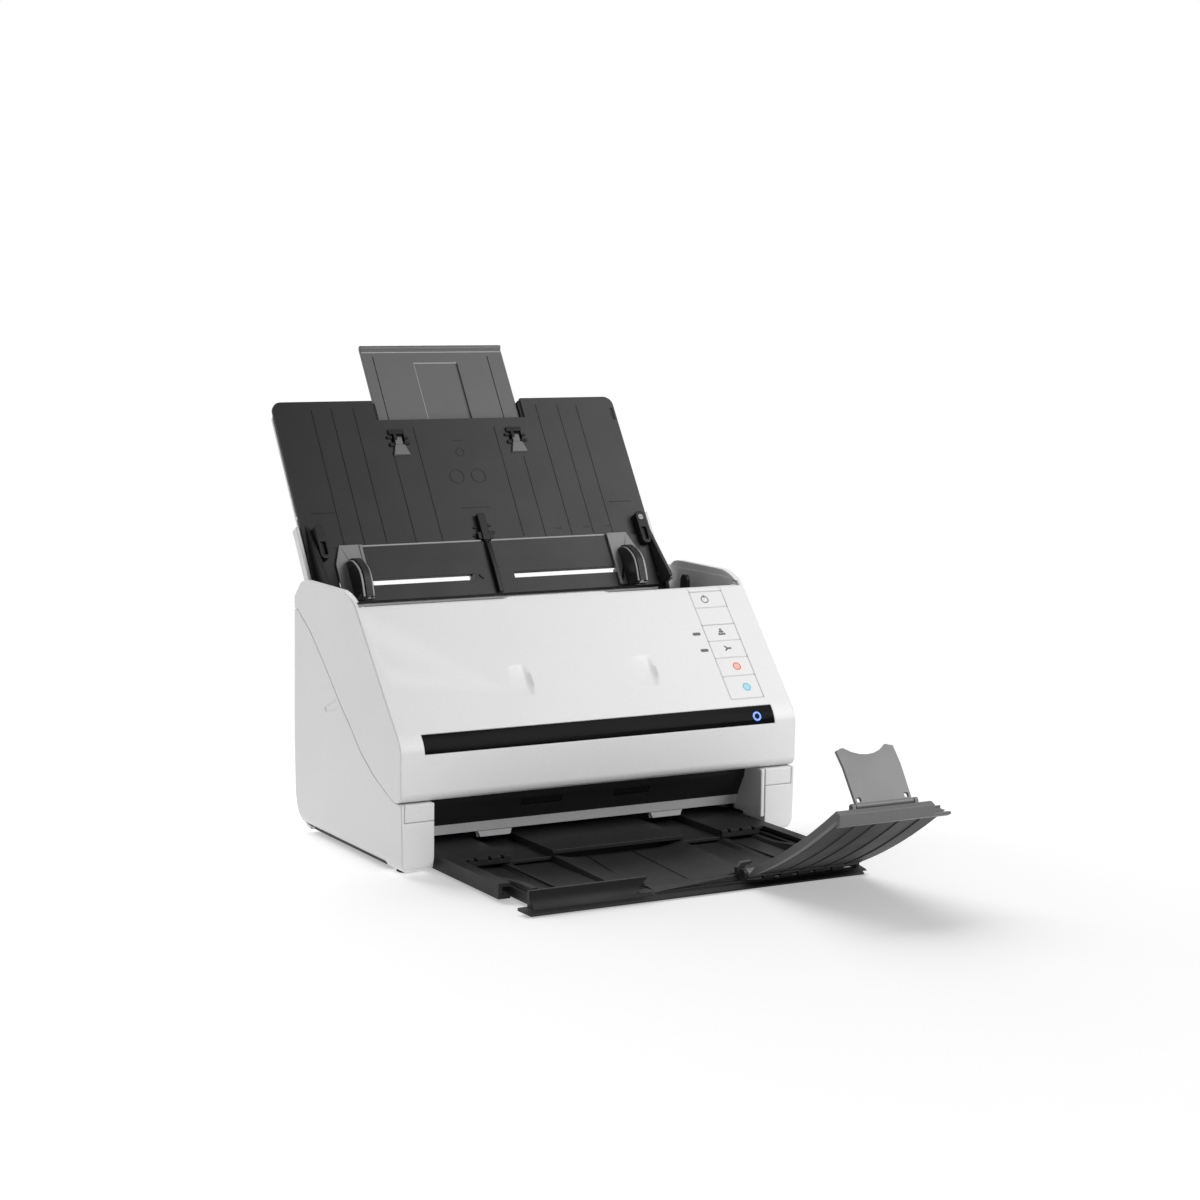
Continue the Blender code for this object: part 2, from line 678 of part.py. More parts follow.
def light_bar(parent):
    bar = prism("YZ", sheet(STRIP, 3.0), (-STRIP_HALF, STRIP_HALF))
    cut(bar, turned_in_place(prism("XY", circle((0, 0), 3.5, 20), (-8, 8)), light_frame()))
    return finish(bar, "light_bar", "gloss_black", parent)


def light_frame():
    """Local Z out of the strip, at the status light."""
    low, high = Vector(STRIP[1]), Vector(STRIP[2])
    middle = (low + high) / 2
    tilt = math.atan2(high.y - low.y, high.x - low.x)
    place = Matrix.Translation(Vector((118, middle.x, middle.y)) * MM)
    return place @ Matrix.Rotation(tilt, 4, "X")


def status_light(parent):
    lens = prism("XY", circle((0, 0), 3.2, 20), (-4.0, -0.1))
    return finish(turned_in_place(lens, light_frame()), "status_light", "blue_light", parent)


def buttons(cover):
    for name, low, high in BUTTONS:
        cap = prism("XY", rounded(BUTTON_X, (low, high), 0.8, 1), (-2.4, 0.0))
        middle = (low + high) / 2
        add(cap, block((112.5, 118.5), (middle - 2, middle + 2), (-5.2, -2)))
        empty = axis_empty(name + "_axis", (115.5, *slope_point(middle)), 0, cover)
        finish(turned_in_place(cap, slope_frame()), name, "white_case", empty)


def panel_board(parent):
    board = block((100, 131), (4, 89.5), (-9.4, -7.8))
    for _, low, high in BUTTONS:
        middle = (low + high) / 2
        add(board, block((113, 118), (middle - 2.5, middle + 2.5), (-8, -6.6)))
    return finish(turned_in_place(board, slope_frame()), "panel_board", "board", parent)


def upper_paper_guide(parent):
    """The black inner side of the cover: it faces the paper and turns up into the feed mouth."""
    line = [path_point(37, 3.0), path_point(100, 3.0), path_point(106, 4.6)]
    line += [(-1.5, 140.0), (-8.4, 155.5)]
    guide = prism("YZ", sheet(line, 2.0), (-128, 128))
    cut(guide, prism("YZ", path_box((40.7, 55.3), (0, 8)), (-114.3, 114.3)))
    for low, high in FEED_RINGS:
        cut(guide, prism("YZ", circle(FEED_IDLER, 6.0, 16), (low - 1.2, high + 1.2)))
    cut(guide, prism("YZ", circle(SEPARATION, 12.0, 20), (-22, 22)))
    for side in (-1, 1):
        cheek = [path_point(37.5, 2), path_point(112, 2), path_point(112, 22), path_point(60, 22)]
        add(guide, prism("YZ", cheek, sided(side, 126, 128)))
        for centre in (FEED_IDLER, SEPARATION):
            cut(guide, prism("YZ", circle(centre, SHAFT_RADIUS + 0.3, 16), sided(side, 120, 129)))
    return finish(guide, "upper_paper_guide", "black", parent)


# --- input tray, modelled in its own frame: X across, Z up the tray, Y out of its back -------------

PANEL_Y = (0.0, 2.4)
INNER_Y = (3.0, 5.5)
RACK_Y = (3.2, 5.3)
BACK_Y = (6.2, 8.6)
CHEEK_X = (131.0, 133.4)
ARM_X = (137.2, 139.4)


def input_tray(parent):
    """The dark front panel with its cheeks, slots and the notch that the extension runs in."""
    outline = rounded((-TRAY_HALF + 2, TRAY_HALF - 2), (TRAY_FOOT, TRAY_TIP), 3, 3)
    panel = prism("XZ", outline, PANEL_Y)
    hopper = prism("XZ", rectangle((-130, 130), (TRAY_FOOT, HOPPER_TOP)), (-1.5, 0.5))
    add(panel, hopper)
    cut(panel, prism("XZ", rectangle((-NOTCH_HALF, NOTCH_HALF), (NOTCH_FOOT, 160)), (-5, 10)))
    for side in (-1, 1):
        cut(panel, prism("XZ", rectangle(sided(side, *SLOT_X), SLOT_S), (-5, 10)))
        cheek = [(-1.0, TRAY_FOOT), (-16.0, TRAY_FOOT), (-16.0, -6.0), (-1.0, 49.0), (1.0, 55.0)]
        cheek.append((1.0, TRAY_FOOT))
        add(panel, prism("YZ", cheek, sided(side, *CHEEK_X)))
        boss = sided(side, CHEEK_X[0] - 0.2, CHEEK_X[1] + 0.2)
        add(panel, prism("YZ", circle((0, 0), 6.1, 16), boss))
        cut(panel, prism("YZ", circle((0, 0), TRAY_PIN_RADIUS + 0.1, 20), sided(side, 130.3, 134)))
        cut(panel, prism("YZ", rectangle((-4, 4.1), (-9, 7.5)), sided(side, 133.6, 140)))
        hole = rounded(sided(side, 41.5, 52.5), (112.5, 123.5), 1, 2)
        cut(panel, prism("XZ", hole, (-5, 10)))
    add(panel, prism("XZ", circle((0, PINION_S), 1.8, 16), (1.0, 5.6)))
    return finish(panel, "input_tray", "charcoal", parent, local=True)


def tray_back_cover(parent):
    """The white shell behind the tray. Its side arms turn on the hinge pins."""
    shell = prism("XZ", rounded((-137.8, 137.8), (TRAY_FOOT + 2, TRAY_TIP - 3), 3, 3), BACK_Y)
    for side in (-1, 1):
        arm = [(8.6, -6.0), (8.6, 52.0), (1.0, 52.0), (-3.0, 47.0), (-15.0, 12.0), (-20.0, -2.0)]
        arm.append((-18.0, -6.0))
        add(shell, prism("YZ", arm, sided(side, *ARM_X)))
        cut(shell, prism("YZ", circle((0, 0), TRAY_PIN_RADIUS + 0.1, 20), sided(side, 136, 141)))
        cut(shell, prism("XZ", rectangle(sided(side, *SLOT_X), (SLOT_S[0], SLOT_S[1] + 5.0)), (4, 12)))
        cut(shell, prism("XZ", rectangle(sided(side, 133.6, 136.9), (-10, 12)), (4, 12)))
    rim = prism("XZ", rectangle((-136, 136), (60, 62)), (3.0, 7.0))
    cut(rim, prism("XZ", rectangle((-EXTENSION_HALF - 2, EXTENSION_HALF + 2), (50, 70)), (2, 6.0)))
    add(shell, rim)
    return finish(shell, "tray_back_cover", "white_case", parent, local=True)


def tray_extension(parent):
    """The sliding plate with its rolled top edge."""
    width = (-EXTENSION_HALF, EXTENSION_HALF)
    plate = prism("XZ", rectangle(width, (EXTENSION_FOOT, EXTENSION_TOP - 1.5)), INNER_Y)
    add(plate, prism("YZ", circle((3.4, EXTENSION_TOP - 1.9), 1.9, 12), width))
    cut(plate, prism("XZ", rectangle((-17.0, 17.0), (100, 181)), (2.0, 3.7)))
    return finish(plate, "tray_extension", "mid_grey", parent, local=True)


def edge_guide(side, parent):
    """A paper guide: foot plate, upright fin, and the rack behind the panel that links it."""
    name = {-1: "left_edge_guide", 1: "right_edge_guide"}[side]
    foot = prism("XZ", rectangle(sided(side, 96.5, 120), (TRAY_FOOT + 0.5, 34)), (-3.2, -1.9))
    fin = [(-2.0, -7.5), (-2.0, 33.5), (-5.0, 33.0), (-13.0, 25.0), (-20.5, 15.0), (-24.0, 6.0)]
    fin.append((-25.0, -7.5))
    add(foot, prism("YZ", fin, sided(side, 108.5, 118.5)))
    slot = [(-12.0, -9.0), (-12.0, 18.0), (-30.0, 30.0), (-30.0, -9.0)]
    cut(foot, prism("YZ", slot, sided(side, 111.0, 116.0)))
    stem = (SLOT_S[0] + 0.6, SLOT_S[1] - 0.6)
    add(foot, prism("XZ", rectangle(sided(side, 98, 112), stem), (-2.2, 4.0)))
    if side < 0:
        pitch_line, back = PINION_S + RACK_PITCH_S, PINION_S + RACK_PITCH_S + 5
    else:
        pitch_line, back = PINION_S - RACK_PITCH_S, PINION_S - RACK_PITCH_S - 5
    pitch = math.pi * RACK_MODULE
    outline = rack_outline(RACK_MODULE, -8.0, 112.0, pitch_line, back, pitch / 2)
    add(foot, prism("XZ", [(side * a, b) for a, b in outline], RACK_Y))
    web = sorted((stem[0] if side < 0 else stem[1], (back + pitch_line) / 2))
    add(foot, prism("XZ", rectangle(sided(side, 98, 112), web), RACK_Y))
    return finish(foot, name, "light_grey", parent, local=True)


def guide_pinion(parent):
    """The small gear between the two racks; its teeth face the racks' gaps at rest."""
    gear = prism("XZ", gear_outline(RACK_MODULE, RACK_TEETH, (0, PINION_S), 90), RACK_Y)
    cut(gear, prism("XZ", circle((0, PINION_S), 2.0, 16), (0, 9)))
    return finish(gear, "guide_pinion", "nylon", parent)


def centre_rib(parent):
    """The black rib down the middle of the hopper, with its clip above the bright step."""
    side_view = [(-1.8, TRAY_FOOT), (-5.0, TRAY_FOOT), (-5.5, 10), (-4.5, 30), (-1.8, 34)]
    rib = prism("YZ", side_view, (-1.8, 1.8))
    add(rib, prism("XZ", rounded((-6, 6), (34.2, 40), 1, 2), (-3.2, -0.3)))
    add(rib, prism("XZ", rounded((-3.0, 3.0), (33, 54), 1, 2), (-4.2, -0.3)))
    add(rib, block((-1.8, 1.8), (-3.2, -1.85), (28, 36)))
    return finish(rib, "centre_rib", "black", parent, local=True)


def support_tab(side, parent):
    name = {-1: "left_support_tab", 1: "right_support_tab"}[side]
    outline = [(side * 41.9, 112.0), (side * 52.1, 112.0), (side * 50.6, 104.5), (side * 43.4, 104.5)]
    tab = prism("XZ", outline, (-1.5, -0.3))
    add(tab, prism("XZ", rectangle(sided(side, 42.5, 51.5), (111, 120.5)), (-1.2, 1.8)))
    cut(tab, prism("XZ", rectangle(sided(side, 40, 54), (104, 112.8)), (-0.3, 4)))
    return finish(tab, name, "light_grey", parent, local=True)


# --- output trays ---------------------------------------------------------------------------------


def deck_section(top, thickness):
    """Front view of the ribbed deck, right half from the middle: raised, channel, raised."""
    low, high = CHANNEL_X
    drop = 4.2
    line = [(0, top), (low, top), (low + 1, top - drop), (high - 1, top - drop), (high, top)]
    line.append((OUT_HALF, top))
    return line, beside(line, thickness)


def output_tray(parent):
    """The first stage: a ribbed deck between two side rails."""
    upper, lower = deck_section(DECK_TOP, DECK)
    outline = [(-a, b) for a, b in upper[:0:-1]] + upper + lower[::-1] + [(-a, b) for a, b in lower[1:]]
    deck = prism("XZ", outline, STAGE_ONE_Y)
    edge = STAGE_ONE_Y[0]
    front_edge = (edge - 1.4, edge + 0.4)
    for side in (-1, 1):
        rail = block(sided(side, 112.6, OUT_HALF), (RAIL_FRONT_Y, STAGE_ONE_Y[1]), (2.0, DECK_TOP))
        cut(rail, block(sided(side, 110, 118.4), (RAIL_FRONT_Y - 1, 0), (4.6, 9.4)))
        add(deck, rail)
        add(deck, block(sided(side, CHANNEL_X[1], 109), front_edge, (7.2, DECK_TOP)))
        for x in (84, 93, 103):
            cut(deck, block(sided(side, x, x + 2), (edge - 3, edge + 3), (9.9, 14)))
    add(deck, block((-CHANNEL_X[0], CHANNEL_X[0]), front_edge, (9.4, DECK_TOP)))
    return finish(deck, "output_tray", "charcoal", parent)


def output_tray_extension(parent):
    """The second stage: a low floor with ribs, a front lip over a flange, and the hinge ears."""
    floor = block((-STAGE_TWO_HALF, STAGE_TWO_HALF), STAGE_TWO_Y, (2.2, 4.0))
    bottom, edge_top = FLANGE_Z
    flange = [(FLANGE_BACK_Y, bottom), (FLANGE_FRONT_Y, bottom), (FLANGE_FRONT_Y, edge_top)]
    flange += [(LIP_Y - 5.0, 3.3), (FLANGE_BACK_Y, 4.3)]
    add(floor, prism("YZ", flange, (-FLANGE_HALF, FLANGE_HALF)))
    face = [(LIP_Y, 2.4), (LIP_Y - 5.0, 3.0), (LIP_Y - 2.4, 5.6), (LIP_Y - 0.8, 9.6), (LIP_Y, LIP_TOP)]
    face.append((LIP_Y + 2.4, LIP_TOP))
    ramp = [(LIP_Y + 6, 8.8), (-180, 5.0), (-166, 3.2)]
    add(floor, prism("YZ", face + ramp, (-117, -SCOOP_HALF)))
    cut(floor, block((-118, -STAGE_TWO_HALF - 0.2), (LIP_Y + 2.4, -160), (2.0, LIP_TOP + 1)))
    low_lip = [(LIP_Y - 4, 2.6), (LIP_Y - 4, 4.6), (LIP_Y + 7, 6.0), (-181, 4.7), (-164, 3.0)]
    add(floor, prism("YZ", low_lip, (-SCOOP_HALF - 1, 112.2)))
    for side in (-1, 1):
        add(floor, block(sided(side, STAGE_TWO_HALF - 0.5, 117.6), (-142, STAGE_TWO_Y[1]), (5.4, 8.6)))
        add(floor, block(sided(side, STAGE_TWO_HALF - 2, STAGE_TWO_HALF), (-196, STAGE_TWO_Y[1]), (3, 8.6)))
        add(floor, block(sided(side, 46.2, 47.6), (-170, STAGE_TWO_Y[1]), (3, 5.2)))
        add(floor, block(sided(side, 82, 83.4), (-170, STAGE_TWO_Y[1]), (3, 6.6)))
    trough = [(-203.5, 3.9), (-186, 3.9), (-186, 20), (-203.5, 20)]
    cut(floor, prism("YZ", trough, (FLAP_X[0] - 0.2, FLAP_X[1] + 0.2)))
    ear = [(-194.0, 3), (-194.4, FLAP_AXIS[1])] + arc(FLAP_AXIS, 3.6, 30, 200, 5) + [(-200.6, 3)]
    for low, high in ((33.4, 35.6), (118.4, 120.6)):
        add(floor, prism("YZ", ear, (low, high)))
    for low, high in ((34.5, 39), (115, 119.5)):
        add(floor, prism("YZ", circle(FLAP_AXIS, 1.4, 12), (low, high)))
    return finish(floor, "output_tray_extension", "charcoal", parent)


def flap_height(share):
    """Height of the flap's middle over its hinge, at this share of its reach."""
    return 39.5 * share + 17.0 * share * share


def stopper_flap(parent):
    """The curved flap that stops the paper, raised to the front on its two knuckles."""
    steps = 8
    middle = []
    for i in range(steps + 1):
        share = i / steps
        middle.append((FLAP_AXIS[0] - FLAP_REACH * share, FLAP_AXIS[1] + flap_height(share)))
    upper = beside(middle, -2.4)[1:]
    lower = beside(middle, 2.4)[1:]
    tip = middle[-1]
    if upper[-1][1] < lower[-1][1]:
        upper, lower = lower, upper
    nose = [(tip[0] - 2.6, tip[1] + 0.2), (tip[0] - 2.6, tip[1] - 6.6), (tip[0] + 1.2, tip[1] - 8.4)]
    root = arc(FLAP_AXIS, 3.4, 60, 320, 8)
    outline = root[:5] + upper + nose + lower[::-1] + root[5:]
    flap = prism("YZ", outline, FLAP_X)
    cut(flap, prism("YZ", circle(FLAP_AXIS, 1.7, 16), (FLAP_X[0] - 1, FLAP_X[1] + 1)))
    for low, high in ((STOP_X[0] - 3.2, STOP_X[0] - 0.4), (STOP_X[1] + 0.4, STOP_X[1] + 3.2)):
        ear = [(STOP_AXIS[0] - 5.5, STOP_AXIS[1] - 4.6), (STOP_AXIS[0] + 3.0, STOP_AXIS[1] - 9.0)]
        ear += arc(STOP_AXIS, 2.0, -20, 190, 6)
        add(flap, prism("YZ", ear, (low, high)))
    for low, high in ((STOP_X[0] - 1, STOP_X[0] + 2.4), (STOP_X[1] - 2.4, STOP_X[1] + 1)):
        add(flap, prism("YZ", circle(STOP_AXIS, 0.8, 12), (low, high)))
    return finish(flap, "stopper_flap", "mid_grey", parent)


def stop_plate(parent):
    """The small upright plate at the flap's tip, with a concave top edge between two horns."""
    middle = (STOP_X[0] + STOP_X[1]) / 2
    half = (STOP_X[1] - STOP_X[0]) / 2
    top = [(middle + half, STOP_HEIGHT), (middle + half - 3.6, STOP_HEIGHT + 0.8)]
    top += arc((middle, STOP_HEIGHT + 18), 22.5, -37, -143, 8)
    top += [(middle - half + 3.6, STOP_HEIGHT + 0.8), (middle - half, STOP_HEIGHT)]
    outline = [(STOP_X[0] + 0.6, 0), (STOP_X[1] - 0.6, 0)] + top
    plate = prism("XZ", outline, (-1.0, 1.0))
    add(plate, prism("YZ", circle((0, 0), 1.9, 12), (STOP_X[0], STOP_X[1])))
    for low, high in ((STOP_X[0] - 1, STOP_X[0] + 3.0), (STOP_X[1] - 3.0, STOP_X[1] + 1)):
        cut(plate, prism("YZ", circle((0, 0), 1.1, 12), (low, high)))
    return finish(plate, "stop_plate", "mid_grey", parent, local=True)


# --- assembly -------------------------------------------------------------------------------------


def build_base():
    bottom_pan()
    for side in (-1, 1):
        side_cover(side)
        hinge_cap(side)
        frame(side)
        tray_bracket(side)
        tray_hinge_pin(side)
    rear_cover()
    feet()
    exit_guide()
    exit_lip()
    lower_paper_guide()
    glass_and_sensor(("rear_glass", "rear_image_sensor"), 65, -1, None)
    feed_motor()
    drive_belt()
    boards_and_sockets()


def build_drive():
    eject = axis_empty("eject_axis", (0, *EJECT))
    pulley = DRIVE_X
    roller("eject_roller", EJECT, 7.0, EJECT_RINGS, (-143.4, 143.4), "roller_rubber", eject, pulley)
    reduction_gear(eject)
    motor_pinion(axis_empty("motor_axis", (0, *MOTOR)))
    feed = axis_empty("feed_axis", (0, *FEED))
    roller("feed_roller", FEED, 8.0, FEED_RINGS, (-137.4, 143.4), "roller_rubber", feed, pulley)
    pickup = axis_empty("pickup_axis", (0, *PICKUP))
    roller("pickup_roller", PICKUP, 12.0, PICKUP_RINGS, (-137.4, 143.4), "roller_rubber", pickup, pulley)
    idler = axis_empty("exit_idler_axis", (0, *EXIT_IDLER))
    roller("exit_idler", EXIT_IDLER, 5.5, EJECT_RINGS, (-60, 60), "roller_rubber", idler)


def build_cover():
    cover = axis_empty("cover_axis", (0, *COVER_AXIS))
    front_cover(cover)
    light_bar(cover)
    status_light(cover)
    panel_board(cover)
    upper_paper_guide(cover)
    glass_and_sensor(("front_glass", "front_image_sensor"), 48, 1, cover)
    separation = axis_empty("separation_axis", (0, *SEPARATION), 0, cover)
    roller("separation_roller", SEPARATION, 11.0, PICKUP_RINGS, (-129, 129), "roller_rubber", separation)
    pinch = axis_empty("pinch_axis", (0, *FEED_IDLER), 0, cover)
    roller("pinch_roller", FEED_IDLER, 5.0, FEED_RINGS, (-129, 129), "roller_rubber", pinch)
    buttons(cover)
    cover_open_lever(axis_empty("lever_axis", (HALF_WIDTH - 1, LEVER_Y_SLOT[0], 157.5), 0, cover))


def build_input_tray():
    tray = axis_empty("input_tray_axis", (0, *TRAY_AXIS), TRAY_DEG - 90)
    for make in (input_tray, tray_back_cover, tray_extension, centre_rib):
        make(tray)
    for side in (-1, 1):
        edge_guide(side, tray)
        support_tab(side, tray)
    up = (math.cos(math.radians(TRAY_DEG)), math.sin(math.radians(TRAY_DEG)))
    hub = (0, TRAY_AXIS[0] + up[0] * PINION_S, TRAY_AXIS[1] + up[1] * PINION_S)
    pinion_axis = axis_empty("guide_pinion_axis", hub, TRAY_DEG - 90, tray)
    pinion = guide_pinion(None)
    turned_in_place(pinion, Matrix.Translation(Vector((0, 0, -PINION_S)) * MM))
    pinion.parent = pinion_axis


def build_output_trays():
    output_tray(axis_empty("output_tray_axis", (0, STAGE_ONE_Y[0], DECK_TOP)))
    extension = axis_empty("output_extension_axis", (0, STAGE_TWO_Y[0], 3))
    output_tray_extension(extension)
    flap = axis_empty("stopper_flap_axis", (0, *FLAP_AXIS), 0, extension)
    stopper_flap(flap)
    stop_plate(axis_empty("stop_plate_axis", (0, *STOP_AXIS), STOP_DEG - 90, flap))


def main():
    for obj in list(bpy.data.objects):
        bpy.data.objects.remove(obj, do_unlink=True)
    build_base()
    build_drive()
    build_cover()
    build_input_tray()
    build_output_trays()
    for obj in bpy.data.objects:
        if obj.parent is None:
            obj.location.y += FOOTPRINT_SHIFT * MM


main()
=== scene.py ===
"""Looks of a desktop sheet-fed scanner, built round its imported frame.

Lengths are in millimetres and are turned into metres where a mesh is made. Places are measured from
the middle of the body on the table: +X to the right, -Y towards the user, +Z up.
"""

import json
import math

import bmesh
import bpy
from mathutils import Matrix, Vector

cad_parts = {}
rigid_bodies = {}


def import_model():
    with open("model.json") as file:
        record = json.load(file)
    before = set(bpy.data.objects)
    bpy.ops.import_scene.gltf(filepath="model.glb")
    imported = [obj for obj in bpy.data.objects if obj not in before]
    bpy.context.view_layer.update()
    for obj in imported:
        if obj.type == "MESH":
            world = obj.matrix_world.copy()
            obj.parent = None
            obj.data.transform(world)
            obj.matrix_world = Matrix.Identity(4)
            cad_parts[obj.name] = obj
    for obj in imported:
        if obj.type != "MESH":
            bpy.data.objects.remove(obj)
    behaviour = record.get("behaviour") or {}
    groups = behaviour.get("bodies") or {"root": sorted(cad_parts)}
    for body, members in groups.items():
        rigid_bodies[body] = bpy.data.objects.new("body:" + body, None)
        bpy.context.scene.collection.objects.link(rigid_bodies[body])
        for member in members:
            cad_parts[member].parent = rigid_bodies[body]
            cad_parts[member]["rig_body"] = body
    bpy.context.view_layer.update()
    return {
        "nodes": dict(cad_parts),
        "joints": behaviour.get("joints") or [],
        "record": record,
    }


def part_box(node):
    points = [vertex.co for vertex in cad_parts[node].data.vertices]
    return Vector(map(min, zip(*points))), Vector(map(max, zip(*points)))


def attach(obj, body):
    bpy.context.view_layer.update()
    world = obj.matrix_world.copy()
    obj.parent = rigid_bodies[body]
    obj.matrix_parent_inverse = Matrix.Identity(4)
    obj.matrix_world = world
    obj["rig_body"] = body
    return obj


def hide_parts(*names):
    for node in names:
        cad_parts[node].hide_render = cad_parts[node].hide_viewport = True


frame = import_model()

MM = 0.001
JOINTS = {joint["name"]: joint for joint in frame["joints"]}
SIDE_LOW, SIDE_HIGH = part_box("left_side_cover")
BODY_MIDDLE = (SIDE_LOW.y + SIDE_HIGH.y) / 2
HALF_WIDTH = -SIDE_LOW.x / MM
FRONT_Y = (SIDE_LOW.y - BODY_MIDDLE) / MM
REAR_Y = -FRONT_Y
TO_BODY = Matrix.Translation((0, BODY_MIDDLE, 0))


def joint_place(name):
    return Vector(JOINTS[name]["pos_m"])


def turned_frame(place, up):
    """A frame at this place with local X across and local Z along up, a direction in the YZ plane."""
    angle = math.atan2(up[2], up[1]) - math.pi / 2
    return Matrix.Translation(place) @ Matrix.Rotation(angle, 4, "X")


# Input tray: local Z up the tray, Y out of its back, from its hinge
TRAY = turned_frame(joint_place("input_tray_hinge"), JOINTS["tray_extension_slide"]["axis"])

# Front slope: local Y up the slope, Z out of it, from the knee above the cover's hinge
PRESS = Vector(JOINTS["power_press"]["axis"])
SLOPE_ANGLE = math.atan2(PRESS.y, -PRESS.z)
KNEE_RISE = 36.5
KNEE = joint_place("cover_hinge") + Vector((0, 0, KNEE_RISE * MM))
SLOPE = Matrix.Translation(KNEE) @ Matrix.Rotation(SLOPE_ANGLE, 4, "X")


# --- materials ------------------------------------------------------------------------------------


class Nodes:
    """A material's node tree, with short calls that add and link nodes."""

    def __init__(self, name):
        self.material = bpy.data.materials.new(name)
        self.material.use_nodes = True
        self.tree = self.material.node_tree
        self.shader = self.tree.nodes["Principled BSDF"]
        self.place = self.add("ShaderNodeTexCoord").outputs["Object"]

    def add(self, kind, **values):
        node = self.tree.nodes.new(kind)
        for key, value in values.items():
            setattr(node, key, value)
        return node

    def link(self, source, target):
        self.tree.links.new(source, target)

    def put(self, name, value):
        if hasattr(value, "is_output"):
            self.link(value, self.shader.inputs[name])
        else:
            self.shader.inputs[name].default_value = value

    def scaled(self, scale):
        mapping = self.add("ShaderNodeMapping")
        mapping.inputs["Scale"].default_value = scale
        self.link(self.place, mapping.inputs["Vector"])
        return mapping.outputs["Vector"]

    def noise(self, scale, detail=3.0, roughness=0.5, vector=None):
        node = self.add("ShaderNodeTexNoise")
        node.inputs["Scale"].default_value = scale
        node.inputs["Detail"].default_value = detail
        node.inputs["Roughness"].default_value = roughness
        self.link(vector or self.place, node.inputs["Vector"])
        return node.outputs["Fac"]

    def cells(self, scale):
        node = self.add("ShaderNodeTexVoronoi")
        node.inputs["Scale"].default_value = scale
        self.link(self.place, node.inputs["Vector"])
        return node.outputs["Distance"]

    def spread(self, value, low, high, start=0.3, end=0.7):
        node = self.add("ShaderNodeMapRange")
        node.inputs["From Min"].default_value = start
        node.inputs["From Max"].default_value = end
        node.inputs["To Min"].default_value = low
        node.inputs["To Max"].default_value = high
        self.link(value, node.inputs["Value"])
        return node.outputs["Result"]

    def mixed(self, factor, first, second):
        node = self.add("ShaderNodeMix", data_type="RGBA")
        for key, value in (("A", first), ("B", second)):
            socket = [s for s in node.inputs if s.name == key and s.type == "RGBA"][0]
            if hasattr(value, "is_output"):
                self.link(value, socket)
            else:
                socket.default_value = (*value[:3], 1.0)
        factor_socket = [s for s in node.inputs if s.name == "Factor" and s.type == "VALUE"][0]
        if hasattr(factor, "is_output"):
            self.link(factor, factor_socket)
        else:
            factor_socket.default_value = factor
        return [s for s in node.outputs if s.type == "RGBA"][0]

    def product(self, first, second):
        node = self.add("ShaderNodeMath", operation="MULTIPLY")
        self.link(first, node.inputs[0])
        self.link(second, node.inputs[1])
        return node.outputs[0]

    def upward(self):
        """How far the surface faces up, from 0 to 1: dust settles there."""
        normal = self.add("ShaderNodeNewGeometry").outputs["Normal"]
        split = self.add("ShaderNodeSeparateXYZ")
        self.link(normal, split.inputs["Vector"])
        return self.spread(split.outputs["Z"], 0.0, 1.0, 0.4, 1.0)

    def across(self, low, high):
        """A value that changes from the machine's left side to its right, for painted light across the
        machine.
        """
        split = self.add("ShaderNodeSeparateXYZ")
        self.link(self.place, split.inputs["Vector"])
        return self.spread(split.outputs["X"], low, high, -0.13, 0.13)

    def soft_edges(self, radius):
        """A normal that is rounded off near sharp edges, with this radius in metres."""
        node = self.add("ShaderNodeBevel", samples=4)
        node.inputs["Radius"].default_value = radius
        return node.outputs["Normal"]

    def bump(self, height, distance, strength=1.0, under=None):
        node = self.add("ShaderNodeBump")
        node.inputs["Strength"].default_value = strength
        node.inputs["Distance"].default_value = distance
        self.link(height, node.inputs["Height"])
        if under:
            self.link(under, node.inputs["Normal"])
        return node.outputs["Normal"]


DUST = (0.5, 0.5, 0.5)


def shade(colour, factor):
    return tuple(min(1.0, c * factor) for c in colour)


def moulded(name, colour, roughness, grain=2600.0, depth=0.000012, dust=0.0, specular=0.5,
            variation=0.05, painted_light_ramp=None, edge=0.0004):
    """Moulded plastic: spark-eroded grain, faint flow marks, uneven gloss and a trace of dust.

    Optionally the tone runs from one factor at the machine's left side to another at its right, a gradient of
    painted light.
    """
    n = Nodes(name)
    # A painted gradient of light across the machine, in place of the random tone.
    if painted_light_ramp:
        factor, (darker, paler) = n.across(0.0, 1.0), painted_light_ramp
    else:
        factor, darker, paler = n.spread(n.noise(9.0, 4.0, 0.6), 0.0, 1.0), 1 - variation, 1 + variation
    tone = n.mixed(factor, shade(colour, darker), shade(colour, paler))
    speckle = n.spread(n.noise(700.0, 2.0), 0.0, 0.10, 0.4, 0.75)
    tone = n.mixed(speckle, tone, shade(colour, 0.72))
    if dust:
        settled = n.product(n.upward(), n.spread(n.noise(60.0), 0.0, dust))
        tone = n.mixed(settled, tone, DUST)
    n.put("Base Color", tone)
    n.put("Roughness", n.spread(n.noise(26.0, 4.0), roughness - 0.05, roughness + 0.06))
    n.put("Specular IOR Level", specular)
    fine = n.bump(n.noise(grain, 2.0, 0.6), depth, 1.0, n.soft_edges(edge))
    n.put("Normal", n.bump(n.cells(grain * 0.45), depth * 0.8, 0.7, fine))
    return n.material


def polished(name, colour):
    """Polished black plastic with hairline wipe marks."""
    n = Nodes(name)
    n.put("Base Color", n.mixed(n.noise(14.0), shade(colour, 0.8), shade(colour, 1.4)))
    marks = n.noise(220.0, 3.0, 0.6, n.scaled((1.0, 14.0, 14.0)))
    n.put("Roughness", n.spread(marks, 0.20, 0.27))
    n.put("Specular IOR Level", 0.03)
    n.put("Normal", n.bump(marks, 0.000002, 0.4))
    return n.material


